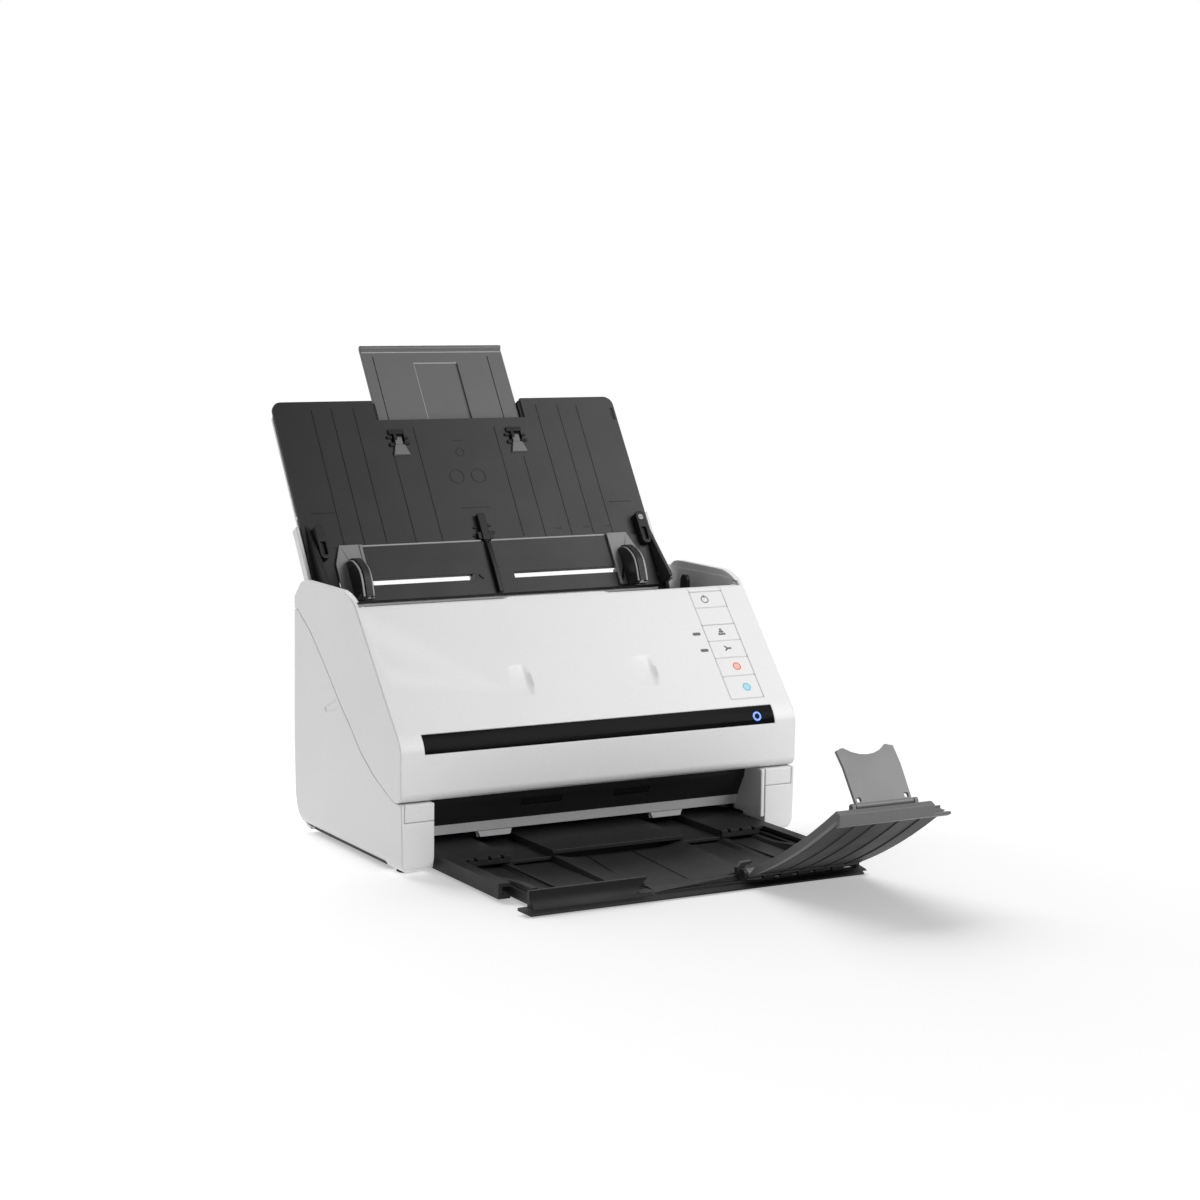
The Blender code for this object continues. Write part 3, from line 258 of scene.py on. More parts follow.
def metal(name, colour, roughness):
    """Sheet or turned steel with brushing along X and slight staining."""
    n = Nodes(name)
    brush = n.noise(900.0, 3.0, 0.6, n.scaled((0.05, 1.0, 1.0)))
    stains = n.spread(n.noise(30.0, 4.0), 0.0, 1.0)
    n.put("Base Color", n.mixed(stains, shade(colour, 0.8), shade(colour, 1.1)))
    n.put("Metallic", 1.0)
    n.put("Roughness", n.spread(brush, roughness - 0.08, roughness + 0.12))
    n.put("Normal", n.bump(brush, 0.000008, 0.6))
    return n.material


def rubbery(name, colour):
    """Rubber: matt, with a bloom that shows paler in patches and a fine ground texture."""
    n = Nodes(name)
    bloom = n.spread(n.noise(120.0, 5.0), 0.0, 1.0)
    n.put("Base Color", n.mixed(bloom, shade(colour, 0.8), shade(colour, 1.5)))
    n.put("Roughness", n.spread(n.noise(300.0), 0.72, 0.9))
    n.put("Specular IOR Level", 0.3)
    n.put("Normal", n.bump(n.noise(2200.0, 4.0, 0.7), 0.00004, 0.8))
    return n.material


def circuit_board(name, colour):
    """Solder resist over copper traces: paler lines in a square net, with round lands."""
    n = Nodes(name)
    brick = n.add("ShaderNodeTexBrick", offset=0.5, squash=1.0)
    brick.inputs["Scale"].default_value = 150.0
    brick.inputs["Mortar Size"].default_value = 0.06
    n.link(n.place, brick.inputs["Vector"])
    traces = brick.outputs["Fac"]
    tone = n.mixed(traces, colour, shade(colour, 2.4))
    lands = n.spread(n.cells(240.0), 1.0, 0.0, 0.10, 0.16)
    n.put("Base Color", n.mixed(lands, tone, (0.55, 0.5, 0.3)))
    n.put("Roughness", n.spread(n.noise(80.0), 0.3, 0.45))
    n.put("Coat Weight", 0.3)
    n.put("Normal", n.bump(traces, 0.00003))
    return n.material


def clear_glass(name):
    """Thin float glass, a little green, with wipe marks in its gloss."""
    n = Nodes(name)
    n.put("Base Color", n.mixed(n.noise(40.0), (0.70, 0.80, 0.77), (0.82, 0.88, 0.86)))
    n.put("Roughness", n.spread(n.noise(60.0, 4.0), 0.02, 0.09))
    n.put("Transmission Weight", 0.75)
    n.put("IOR", 1.5)
    return n.material


def lamp(name, colour, strength):
    """A lit lens, a little uneven."""
    n = Nodes(name)
    tone = n.mixed(n.noise(900.0), shade(colour, 0.8), shade(colour, 1.2))
    n.put("Base Color", tone)
    n.put("Emission Color", tone)
    n.put("Emission Strength", strength)
    n.put("Roughness", n.spread(n.noise(400.0), 0.2, 0.3))
    return n.material


def ink(name, colour):
    """Pad-printed ink: slightly uneven in tone and matter than the plastic under it."""
    n = Nodes(name)
    n.put("Base Color", n.mixed(n.noise(1500.0, 4.0), shade(colour, 0.88), shade(colour, 1.1)))
    n.put("Roughness", n.spread(n.noise(800.0), 0.5, 0.65))
    n.put("Normal", n.bump(n.noise(4000.0), 0.000004))
    return n.material


WHITE = (0.80, 0.80, 0.80)
CHARCOAL = (0.036, 0.036, 0.037)
MATERIALS = {
    "white_case": moulded("white_moulded", WHITE, 0.42, 3000.0, 0.000006, variation=0.012, edge=0.0016),
    "light_grey": moulded("light_grey_moulded", (0.36, 0.36, 0.365), 0.42, 2600.0, 0.000008),
    "charcoal": moulded("charcoal_moulded", CHARCOAL, 0.50, 1900.0, 0.00002, dust=0.04, specular=0.35),
    "mid_grey": moulded("mid_grey_moulded", (0.125, 0.125, 0.127), 0.48, 1900.0, 0.00002, dust=0.03),
    "black": moulded("black_moulded", (0.010, 0.010, 0.010), 0.45, 2200.0, 0.000014, specular=0.3),
    "gloss_black": polished("piano_black", (0.004, 0.004, 0.0045)),
    "rubber": rubbery("foot_rubber", (0.02, 0.02, 0.02)),
    "roller_rubber": rubbery("roller_rubber", (0.11, 0.11, 0.12)),
    "steel": metal("zinc_steel", (0.55, 0.55, 0.56), 0.3),
    "nylon": moulded("natural_nylon", (0.72, 0.69, 0.60), 0.45, 1500.0, 0.000015),
    "board": circuit_board("green_board", (0.012, 0.12, 0.05)),
    "glass": clear_glass("scan_glass"),
    "blue_light": lamp("blue_lens", (0.06, 0.17, 0.60), 0.9),
}
# The input tray's tone is painted darker at its left and paler at its right, where the front light falls
# stronger: painted light.
TRAY_CHARCOAL = moulded("input_tray_moulded", CHARCOAL, 0.50, 1900.0, 0.00002, dust=0.03, specular=0.3,
                        painted_light_ramp=(0.52, 1.6))
EXIT_BLACK = moulded("exit_panel_moulded", (0.020, 0.020, 0.0205), 0.45, 2200.0, 0.00001, specular=0.4)
# A darker black for the front face of the output lip: painted shade.
LIP_SHADE_BLACK = moulded("lip_face_painted_shade", (0.005, 0.005, 0.0052), 0.5, 1900.0, 0.00002, specular=0.2)
OUTPUT_BLACK = moulded("output_tray_moulded", (0.019, 0.019, 0.0195), 0.5, 1900.0, 0.00002, specular=0.3)
# A darker copy of the charcoal for the flap's underside: painted shade.
UNDERSIDE_SHADE = moulded("flap_underside_painted_shade", (0.022, 0.022, 0.0225), 0.5, 1900.0, 0.00002, specular=0.3)
GUIDE_DARK = moulded("guide_wall_moulded", (0.030, 0.030, 0.031), 0.42, 2200.0, 0.00001, specular=0.45)
PLATE_GREY = moulded("stop_plate_moulded", (0.165, 0.165, 0.167), 0.48, 1900.0, 0.000016)
SILVER = moulded("exit_lip_moulded", (0.74, 0.74, 0.75), 0.34, 2600.0, 0.000008, specular=0.7)
# Not a print: a flat black laid in the tray's corner slot, the tabs' openings and the guides' gaps, painted
# shade.
PAINTED_SHADE_BLACK = ink("painted_shade_black", (0.012, 0.012, 0.0125))
PRINT_CORAL = ink("print_coral", (0.80, 0.17, 0.13))
PRINT_PINK = ink("print_pale_coral", (0.88, 0.52, 0.47))
PRINT_CYAN = ink("print_cyan", (0.17, 0.55, 0.74))
PRINT_SKY = ink("print_pale_cyan", (0.42, 0.72, 0.82))
PRINT_GREY = ink("print_grey", (0.13, 0.13, 0.135))
PRINT_SIZE = ink("print_size_marks", (0.016, 0.016, 0.0165))
TAB_GREY = moulded("support_tab_moulded", (0.15, 0.15, 0.152), 0.45, 1900.0, 0.00001)
FOOT_GREY = moulded("guide_foot_moulded", (0.22, 0.22, 0.223), 0.42, 1900.0, 0.00001)


# --- meshes ---------------------------------------------------------------------------------------


def arc(centre, radius, start, end, steps):
    """Points on a circle from one angle to another in degrees, both ends included."""
    turns = [math.radians(start + (end - start) * i / steps) for i in range(steps + 1)]
    return [(centre[0] + radius * math.cos(t), centre[1] + radius * math.sin(t)) for t in turns]


def circle(centre, radius, steps=32):
    return arc(centre, radius, 0, 360, steps)[:-1]


def rectangle(a, b):
    return [(a[0], b[0]), (a[1], b[0]), (a[1], b[1]), (a[0], b[1])]


def rounded(a, b, radius, steps=5):
    corners = [(a[1] - radius, b[1] - radius, 0), (a[0] + radius, b[1] - radius, 90)]
    corners += [(a[0] + radius, b[0] + radius, 180), (a[1] - radius, b[0] + radius, 270)]
    return [p for x, y, start in corners for p in arc((x, y), radius, start, start + 90, steps)]


def mirrored(side, low, high):
    return sorted((side * low, side * high))


def curve(points, steps=5):
    """A smooth line through the points, as a Catmull-Rom spline."""
    points = [Vector(point) for point in points]
    line = []
    for i in range(len(points) - 1):
        before, a, b = points[max(i - 1, 0)], points[i], points[i + 1]
        after = points[min(i + 2, len(points) - 1)]
        for k in range(steps):
            t = k / steps
            squared = (2 * before - 5 * a + 4 * b - after) * t ** 2
            cubed = (3 * a - before - 3 * b + after) * t ** 3
            line.append(tuple((2 * a + (b - before) * t + squared + cubed) / 2))
    return line + [tuple(points[-1])]


def beside(points, distance):
    """The open line that runs parallel to this one, at this distance on its right."""
    shifted = []
    for i, (a, b) in enumerate(points):
        before, after = points[max(i - 1, 0)], points[min(i + 1, len(points) - 1)]
        way = Vector((after[0] - before[0], after[1] - before[1])).normalized()
        shifted.append((a + way.y * distance, b - way.x * distance))
    return shifted


def sheet(points, thickness, start=0.0):
    """A bent sheet's outline, between two lines parallel to this one."""
    return beside(points, start) + beside(points, start + thickness)[::-1]


ORDER = {"YZ": (2, 0, 1), "XZ": (0, 2, 1), "XY": (0, 1, 2)}


def new_object(mesh, name="shape"):
    bmesh.ops.recalc_face_normals(mesh, faces=mesh.faces)
    data = bpy.data.meshes.new(name)
    mesh.to_mesh(data)
    mesh.free()
    obj = bpy.data.objects.new(name, data)
    bpy.context.scene.collection.objects.link(obj)
    return obj


def add_prism(mesh, plane, outline, ends, place=TO_BODY):
    """An outline in the YZ, XZ or XY plane drawn out between two ends, added to a bmesh."""
    order = ORDER[plane]
    rings = []
    for end in sorted(ends):
        values = [(a, b, end) for a, b in outline]
        rings.append([mesh.verts.new(place @ (Vector([v[i] for i in order]) * MM)) for v in values])
    mesh.faces.new(rings[0])
    mesh.faces.new(rings[1])
    for i in range(len(outline)):
        j = (i + 1) % len(outline)
        mesh.faces.new((rings[0][i], rings[0][j], rings[1][j], rings[1][i]))


def prism(plane, outline, ends, place=TO_BODY):
    mesh = bmesh.new()
    add_prism(mesh, plane, outline, ends, place)
    return new_object(mesh)


def prisms(plane, outlines, ends, place=TO_BODY):
    """Several prisms with the same ends in one object, for instance a set of cutters."""
    mesh = bmesh.new()
    for outline in outlines:
        add_prism(mesh, plane, outline, ends, place)
    return new_object(mesh)


def loft(rings, place=TO_BODY):
    """A closed solid through rings of (x, y, z) points, with flat ends."""
    mesh = bmesh.new()
    made = [[mesh.verts.new(place @ (Vector(point) * MM)) for point in ring] for ring in rings]
    count = len(rings[0])
    for ring, after in zip(made, made[1:]):
        for i in range(count):
            j = (i + 1) % count
            mesh.faces.new((ring[i], ring[j], after[j], after[i]))
    mesh.faces.new(made[0])
    mesh.faces.new(made[-1])
    return new_object(mesh)


def block(x, y, z, place=TO_BODY):
    return prism("XY", rectangle(x, y), z, place)


def boolean(target, tool, operation):
    modifier = target.modifiers.new(operation, "BOOLEAN")
    modifier.operation = operation
    modifier.object = tool
    bpy.context.view_layer.update()
    graph = bpy.context.evaluated_depsgraph_get()
    target.data = bpy.data.meshes.new_from_object(target.evaluated_get(graph))
    target.modifiers.clear()
    bpy.data.objects.remove(tool)
    return target


def add(target, *tools):
    for tool in tools:
        boolean(target, tool, "UNION")
    return target


def cut(target, *tools):
    for tool in tools:
        boolean(target, tool, "DIFFERENCE")
    return target


def ring(plane, centre, outer, inner, ends, place):
    """A flat ring: a disc with a round hole."""
    hole = prism(plane, circle(centre, inner), (ends[0] - 1, ends[1] + 1), place)
    return cut(prism(plane, circle(centre, outer), ends, place), hole)


def extent(node, place):
    """A node's lowest and highest corners in a local frame, in millimetres."""
    back = place.inverted()
    points = [back @ vert.co / MM for vert in frame["nodes"][node].data.vertices]
    return [Vector([pick(point[i] for point in points) for i in range(3)]) for pick in (min, max)]


def of_node(node, name):
    """A copy of a CAD node's surface, with its coplanar triangles merged into whole faces."""
    mesh = bmesh.new()
    mesh.from_mesh(frame["nodes"][node].data)
    bmesh.ops.remove_doubles(mesh, verts=mesh.verts, dist=0.002 * MM)
    bmesh.ops.dissolve_limit(mesh, angle_limit=math.radians(0.3), verts=mesh.verts, edges=mesh.edges)
    return new_object(mesh, name)


def room_beside(edge):
    """The widest rounding that the other edges at this edge's ends leave room for."""
    way = (edge.verts[1].co - edge.verts[0].co).normalized()
    widest = 1.0
    for vert in edge.verts:
        for other in vert.link_edges:
            side = other.other_vert(vert).co - vert.co
            if other is not edge and abs(side.normalized().dot(way)) < 0.9:
                widest = min(widest, side.length * 0.45)
    return widest / MM


def round_edges(obj, width, segments=3, angle=35.0, wide=None, wide_width=0.0):
    """Rounds the sharp edges; edges that wide(edge) picks get the larger width."""
    largest = max(width, wide_width)
    mesh = bmesh.new()
    mesh.from_mesh(obj.data)
    bmesh.ops.remove_doubles(mesh, verts=mesh.verts, dist=0.003 * MM)
    bmesh.ops.dissolve_limit(mesh, angle_limit=math.radians(0.3), verts=mesh.verts, edges=mesh.edges)
    layer = mesh.edges.layers.float.new("bevel_weight_edge")
    for edge in mesh.edges:
        if len(edge.link_faces) != 2 or edge.calc_face_angle(0) < math.radians(angle):
            continue
        asked = wide_width if wide and edge.is_convex and wide(edge) else width
        edge[layer] = min(asked, room_beside(edge)) / largest
    mesh.to_mesh(obj.data)
    mesh.free()
    modifier = obj.modifiers.new("Edges", "BEVEL")
    modifier.width = largest * MM
    modifier.segments = segments
    modifier.limit_method = "WEIGHT"
    modifier.use_clamp_overlap = True
    modifier.harden_normals = False
    return obj


def settle(obj):
    """Applies the modifiers, so that the mesh itself has the rounded edges."""
    bpy.context.view_layer.update()
    graph = bpy.context.evaluated_depsgraph_get()
    obj.data = bpy.data.meshes.new_from_object(obj.evaluated_get(graph))
    obj.modifiers.clear()
    return obj


def piece(obj, name, body, slot, material=None, replaced=(), smooth=32.0):
    """Names a finished piece, gives it its material and hangs it on its body."""
    settle(obj)
    obj.name = name
    obj.data.name = name
    obj.data.materials.clear()
    obj.data.materials.append(material or MATERIALS[slot])
    obj.data.shade_smooth()
    obj.data.set_sharp_from_angle(angle=math.radians(smooth))
    even = obj.modifiers.new("Even", "WEIGHTED_NORMAL")
    even.keep_sharp = True
    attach(obj, body)
    if replaced:
        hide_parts(*replaced)
    return obj


NODE_BODY = {node: obj["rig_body"] for node, obj in frame["nodes"].items()}
NODE_SLOT = {row["node"]: row["material_slot"] for row in frame["record"]["subparts"]}


def stand_for(obj, node, width=0.3, segments=2, material=None, **more):
    """Rounds an object's edges and lets it stand for a CAD node."""
    done.add(node)
    round_edges(obj, width, segments, **more)
    return piece(obj, node + "_skin", NODE_BODY[node], NODE_SLOT[node], material, (node,))


def refined(node, width=0.3, segments=2, material=None, **more):
    return stand_for(of_node(node, node + "_skin"), node, width, segments, material, **more)


def extra(obj, name, body, slot, material=None, width=0.0):
    """A small visual piece that no CAD node stands for."""
    if width:
        round_edges(obj, width, 2)
    return piece(obj, name, body, slot, material)


done = set()


# --- front cover ----------------------------------------------------------------------------------

EDGE_RADIUS = 2.2
LEVER_GAP = 1.0
LEVER_LOW, LEVER_HIGH = extent("cover_open_lever", TO_BODY)
POCKETS = ((-59.0, -41.5), (35.0, 53.0))
POCKET_S = (20.5, 46.5)
KEYS = ("power", "slow_mode", "skip", "stop", "start")
KEY_GROW = 0.27


def by_lever(point):
    """Whether a point lies in the slot of the cover's release lever, seen from the side."""
    return all(LEVER_LOW[i] - LEVER_GAP < point[i] < LEVER_HIGH[i] + LEVER_GAP for i in (1, 2))


def silhouette_edge(edge):
    """An outer edge of a side wing that looks up or to the front, apart from the lever's slot."""
    points = [TO_BODY.inverted() @ vert.co / MM for vert in edge.verts]
    if min(abs(point.x) for point in points) < HALF_WIDTH - 0.01 or all(by_lever(p) for p in points):
        return False
    others = [face.normal for face in edge.link_faces if abs(face.normal.x) < 0.9]
    return len(others) == 1 and (others[0].z > 0.1 or others[0].y < -0.5)


POCKET_SHAPE = ((0.0, 0.0), (0.3, 0.5), (0.6, 1.4), (0.72, 2.0), (0.80, 2.1), (0.90, 1.5), (1.0, 0.0))
POCKET_BOW = 1.5
POCKET_STEPS = 16


def pocket(low, high):
    """The cutter of a finger grip: flush at its left, deepest near its right, where it curves up."""
    rings = []
    middle, half = sum(POCKET_S) / 2, (POCKET_S[1] - POCKET_S[0]) / 2
    for share, depth in POCKET_SHAPE:
        x = low + (high - low) * share
        line = []
        for i in range(POCKET_STEPS + 1):
            t = -1 + 2 * i / POCKET_STEPS
            bulge = 1 - t * t
            line.append((x + POCKET_BOW * bulge * share, middle + t * half, 0.1 - depth * bulge))
        rings.append(line + [(x, middle + half, 2.0), (x, middle - half, 2.0)])
    return loft(rings, SLOPE)


# The wings lie outside WALL_X, and their flat inner walls at WING_X
WALL_X = 139.9
WING_X = 144.0
WING_TOP = curve([(96.0, 0.0), (102.8, -1.2), (111.0, -5.5), (117.7, -10.7)], 4)
WING_CUT = [(33.0, 0.0)] + WING_TOP + [(125, 20), (33, 20)]


def trim_wings(shell):
    """Brings the side wings down to the slope's surface and makes them as thin as the part's are."""
    for side in (-1, 1):
        cut(shell, prism("YZ", WING_CUT, mirrored(side, WALL_X, HALF_WIDTH + 1), SLOPE))
        cut(shell, block(mirrored(side, WALL_X, WING_X), (-10.6, 85), (136.9, 173)))
        cut(shell, block(mirrored(side, WALL_X, WING_X), (-16, -10.55), (163.2, 173)))
    return shell


def wing_liners():
    """The flat inner walls of the two wings."""
    outline = [(-11.0, 138.5), (79.0, 150.6), (79.0, 167.5), (-3.5, 167.5), (-11.0, 164.0)]
    for side, name in ((-1, "left_wing_liner"), (1, "right_wing_liner")):
        liner = prism("YZ", outline, mirrored(side, WING_X - 0.05, WING_X + 0.95))
        extra(liner, name, "scanner_cover", "white_case")


def front_cover():
    shell = trim_wings(of_node("front_cover", "front_cover_skin"))
    for low, high in POCKETS:
        cut(shell, pocket(low, high))
    left, right = [corner.x for corner in extent("start_button", SLOPE)]
    power_low, power_high = extent("power_button", SLOPE)
    slow_high = extent("slow_mode_button", SLOPE)[1]
    sides = []
    for x in (left - 0.2, right + 0.2):
        for along in ((slow_high.y, power_low.y), (power_high.y, 97.0)):
            sides.append(rectangle((x - 0.15, x + 0.15), along))
    cut(shell, prisms("XY", sides, (-0.4, 1.0), SLOPE))
    stand_for(shell, "front_cover", 0.45, 3, wide=silhouette_edge, wide_width=EDGE_RADIUS)


def key_caps():
    """The five flat keys, which all but touch each other and the cover."""
    for name in KEYS:
        low, high = extent(name + "_button", SLOPE)
        across = (low.x - KEY_GROW, high.x + KEY_GROW)
        along = (low.y - KEY_GROW, high.y + KEY_GROW)
        cap = prism("XY", rounded(across, along, 0.9, 4), (-2.2, 0.0), SLOPE)
        stand_for(cap, name + "_button", 0.25, 3)


SIGN_HEIGHT = (-0.2, 0.03)
SLOW_DOTS = ((-1.9, 0), (0, 0), (1.9, 0), (-0.9, 1.9), (0.9, 1.9), (0, 3.7))
SKIP_ARROW = ((112.8, 44.0), (114.4, 46.0), (112.8, 48.0), (114.2, 48.0), (115.6, 46.6), (118.6, 46.6),
              (118.6, 45.2), (115.6, 45.2), (114.2, 44.0))
STOP_SIGN = (117.2, 31.2)
START_SIGN = (118.5, 14.4)
DASHES = ((95.7, 58.9), (96.9, 45.5))


def key_mark(name, key, obj, material):
    extra(obj, name, NODE_BODY[key + "_button"], "black", material)


def key_marks():
    """Plain printed signs: rings, dots, an arrow and a hexagon."""
    power = ring("XY", (112.9, 86.4), 3.0, 2.25, SIGN_HEIGHT, SLOPE)
    key_mark("power_sign", "power", power, PRINT_GREY)
    stem = prism("XY", rectangle((112.6, 113.2), (87.2, 90.3)), (-0.2, 0.05), SLOPE)
    key_mark("power_sign_stem", "power", stem, PRINT_GREY)
    dots = [circle((115.6 + x, 57.6 + s), 0.95, 16) for x, s in SLOW_DOTS]
    key_mark("slow_sign", "slow_mode", prisms("XY", dots, SIGN_HEIGHT, SLOPE), PRINT_GREY)
    key_mark("skip_sign", "skip", prism("XY", SKIP_ARROW, SIGN_HEIGHT, SLOPE), PRINT_GREY)
    key_mark("stop_sign_ring", "stop", ring("XY", STOP_SIGN, 3.1, 2.2, SIGN_HEIGHT, SLOPE), PRINT_CORAL)
    disc = prism("XY", circle(STOP_SIGN, 2.2), SIGN_HEIGHT, SLOPE)
    key_mark("stop_sign_fill", "stop", disc, PRINT_PINK)
    hexagon = prism("XY", circle(START_SIGN, 3.5, 6), SIGN_HEIGHT, SLOPE)
    core = prism("XY", circle(START_SIGN, 2.5, 6), (-0.4, 0.2), SLOPE)
    key_mark("start_sign_edge", "start", cut(hexagon, core), PRINT_CYAN)
    fill = prism("XY", circle(START_SIGN, 2.5, 6), SIGN_HEIGHT, SLOPE)
    key_mark("start_sign_fill", "start", fill, PRINT_SKY)
    dashes = [rounded((x - 3.1, x + 3.1), (s - 1.2, s + 1.2), 1.0, 3) for x, s in DASHES]
    marks = prisms("XY", dashes, SIGN_HEIGHT, SLOPE)
    extra(marks, "mode_dashes", "scanner_cover", "black", PRINT_GREY)


def status_ring():
    """The status light: a blue ring round a dark middle, set in the strip."""
    low, high = extent("status_light", TO_BODY)
    middle = (low + high) / 2
    tilt = math.atan2(0.9, 0.43)
    place = TO_BODY @ Matrix.Translation(middle * MM) @ Matrix.Rotation(tilt, 4, "X")
    top = extent("status_light", place)[1].z
    stand_for(ring("XY", (0, 0), 3.3, 1.9, (top - 2, top + 0.12), place), "status_light", 0.2, 2)
    core = prism("XY", circle((0, 0), 1.8), (top - 2, top + 0.05), place)
    extra(core, "status_light_core", "scanner_cover", "gloss_black", width=0.2)


front_cover()
wing_liners()
key_caps()
key_marks()
status_ring()
refined("light_bar", 0.35, 3)


# --- base -----------------------------------------------------------------------------------------

RECESS = [(31.0, 88.0), (14.0, 92.4), (10.5, 96.0), (14.6, 99.6), (20.0, 96.4), (34.0, 91.0)]


def side_covers():
    """The side panels, each with a faint recess under the seam that tapers to its front end."""
    for side, name in ((-1, "left_side_cover"), (1, "right_side_cover")):
        panel = of_node(name, name + "_skin")
        cut(panel, prism("YZ", RECESS, mirrored(side, HALF_WIDTH - 0.25, HALF_WIDTH + 2)))
        stand_for(panel, name, 0.6, 3)


def exit_shutters():
    """Two black shutters that close the roller windows of the exit panel, a hair inside it."""
    foot, knee = (-54.5, 23.6), (-62.5, 38.6)
    for name, across in (("left_exit_shutter", (-49.5, -20.3)), ("right_exit_shutter", (20.4, 46.7))):
        corners = []
        for z, inset in ((33.5, 0.15), (37.8, 0.15), (37.8, 1.4), (33.5, 1.4)):
            share = (z - foot[1]) / (knee[1] - foot[1])
            corners.append((foot[0] + share * (knee[0] - foot[0]) + inset, z))
        extra(prism("YZ", corners, across), name, "base", "black", width=0.15)


def rear_screws():
    """Four cross-head screws in the rear cover's corners."""
    heads = []
    for x in (-132, 132):
        for z in (36, 132):
            head = prism("XZ", circle((x, z), 3.1), (REAR_Y - 1, REAR_Y + 0.9))
            for across, up in ((2, 0.4), (0.4, 2)):
                slot = rectangle((x - across, x + across), (z - up, z + up))
                cut(head, prism("XZ", slot, (REAR_Y + 0.3, REAR_Y + 2)))
            heads.append(head)
    extra(add(*heads), "rear_screws", "base", "steel", width=0.15)


def exit_surround():
    """The pale insides of the two pillars, and the flat face of the silver exit lip."""
    for side, name, front in ((-1, "left_pillar_liner", -70.0), (1, "right_pillar_liner", -83.9)):
        liner = prism("XY", rectangle(mirrored(side, 121.5, 124.8), (front, -50.0)), (13.6, 46.3))
        extra(liner, name, "base", "white_case", width=0.8)
    face = prism("YZ", [(-53.6, 17.6), (-54.9, 24.6), (-54.2, 24.9), (-52.9, 17.6)], (-121.3, 121.3))
    for low, high in ((-78.4, -52.2), (52.2, 78.4)):
        outline = [(low + 2.4, 13.5), (high - 2.4, 13.5), (high, 18.4), (low, 18.4)]
        add(face, prism("XZ", outline, (-53.55, -52.8)))
    extra(face, "exit_lip_face", "base", "light_grey", SILVER, width=0.2)


side_covers()
exit_surround()
exit_shutters()
rear_screws()
for cap in ("left_hinge_cap", "right_hinge_cap"):
    refined(cap, 0.6, 3)
refined("exit_lip", 0.3, 3, SILVER)
refined("exit_guide", 0.3, 3, EXIT_BLACK)


# --- input tray -----------------------------------------------------------------------------------

GROOVES = ((-108.0, 36, 142), (-92.7, 36, 143), (-75.7, 36, 143), (-53.3, 35, 107), (-32.8, 35, 127),
           (31.8, 36, 126), (49.4, 34, 101), (70.8, 36, 143), (88.7, 36, 143), (104.5, 33.5, 142))
EMBLEM_S = 86.0
TRAY_BODY = NODE_BODY["input_tray"]
TRAY_HIGH = extent("input_tray", TRAY)[1]
CORNER = 7.0


def input_tray():
    panel = of_node("input_tray", "input_tray_skin")
    lines = [rectangle((x - 0.3, x + 0.3), (low, high)) for x, low, high in GROOVES]
    lines += [rectangle((-12, 10), (60.2, 60.9)), [(-2.2, 51.8), (2.2, 51.8), (0, 55.2)]]
    lines += [rectangle((-4, 3), (114.8, 115.4)), rectangle((-126.5, -109), (60.6, 61.1)),
              rectangle((109, 126.5), (60.6, 61.1))]
    cut(panel, prisms("XZ", lines, (-0.6, 0.35), TRAY))
    for x in (-8.6, 8.6):
        cut(panel, ring("XZ", (x, EMBLEM_S), 5.8, 5.2, (-0.6, 0.3), TRAY))
    cut(panel, ring("XZ", (-1, 105.5), 3.4, 2.9, (-0.6, 0.3), TRAY))
    cut(panel, prism("XZ", rounded((132.4, 135.0), (129, 139.5), 1.2), (-0.6, 1.6), TRAY))
    cut(panel, prism("XZ", [(-13.0, 3.8), (-9.2, 3.8), (-13.0, 8.0)], (-2.5, -0.6), TRAY))
    for side in (-1, 1):
        corner = arc((TRAY_HIGH.x - CORNER, TRAY_HIGH.z - CORNER), CORNER, 0, 90, 10)
        corner.append((TRAY_HIGH.x + 3, TRAY_HIGH.z + 3))
        cut(panel, prism("XZ", [(side * x, z) for x, z in corner], (-4, 8), TRAY))
    stand_for(panel, "input_tray", 0.5, 3, TRAY_CHARCOAL)
    for side, name in ((-1, "left_notch_wall"), (1, "right_notch_wall")):
        wall = prism("XZ", rounded(mirrored(side, 57.0, 61.5), (120, 147.6), 1.5, 3), (1.2, 6.6), TRAY)
        extra(wall, name, TRAY_BODY, "black")
    # The slot's floor is flat black: painted shade in the recess.
    slot = prism("XZ", rounded((132.5, 134.9), (129.1, 139.4), 1.1), (0.6, 1.5), TRAY)
    extra(slot, "tray_corner_slot", TRAY_BODY, "black", PAINTED_SHADE_BLACK)


def size_marks():
    """Tone-on-tone paper size marks at the foot of the grooves: three short bars to each."""
    bars = []
    for x in (-101.0, -81.0, -59.0, 61.4, 84.4, 102.5):
        bars += [rectangle((x - 2.6 + 1.9 * i, x - 1.3 + 1.9 * i), (40.6, 42.2)) for i in range(3)]
    extra(prisms("XZ", bars, (-0.03, 0.3), TRAY), "paper_size_marks", TRAY_BODY, "black", PRINT_SIZE)


def hopper_details():
    """The pale rod along the hopper's step, the slot's slanted end and the clip's bits."""
    section = circle((-1.05, 33.7), 0.75, 12)
    rod = prism("YZ", section, (4, 96), TRAY)
    add(rod, prism("YZ", section, (-96, -4), TRAY))
    extra(rod, "hopper_rod", TRAY_BODY, "light_grey")
    end = prism("XZ", [(-20.5, 3.2), (-14.5, 3.2), (-14.5, 8.6), (-16.5, 8.6)], (-1.3, 0.9), TRAY)
    extra(end, "hopper_slot_end", TRAY_BODY, "charcoal")
    bits = [rounded((-6.8, -3.2), (43.6, 45.2), 0.5, 2), rounded((4.6, 7.6), (44.8, 46.6), 0.6, 2),
            rounded((3.6, 9.4), (39.4, 40.9), 0.5, 2), rounded((-8.4, -4.4), (37.2, 38.6), 0.5, 2)]
    extra(prisms("XZ", bits, (-1.0, 0.2), TRAY), "centre_clip_bits", TRAY_BODY, "black", width=0.2)


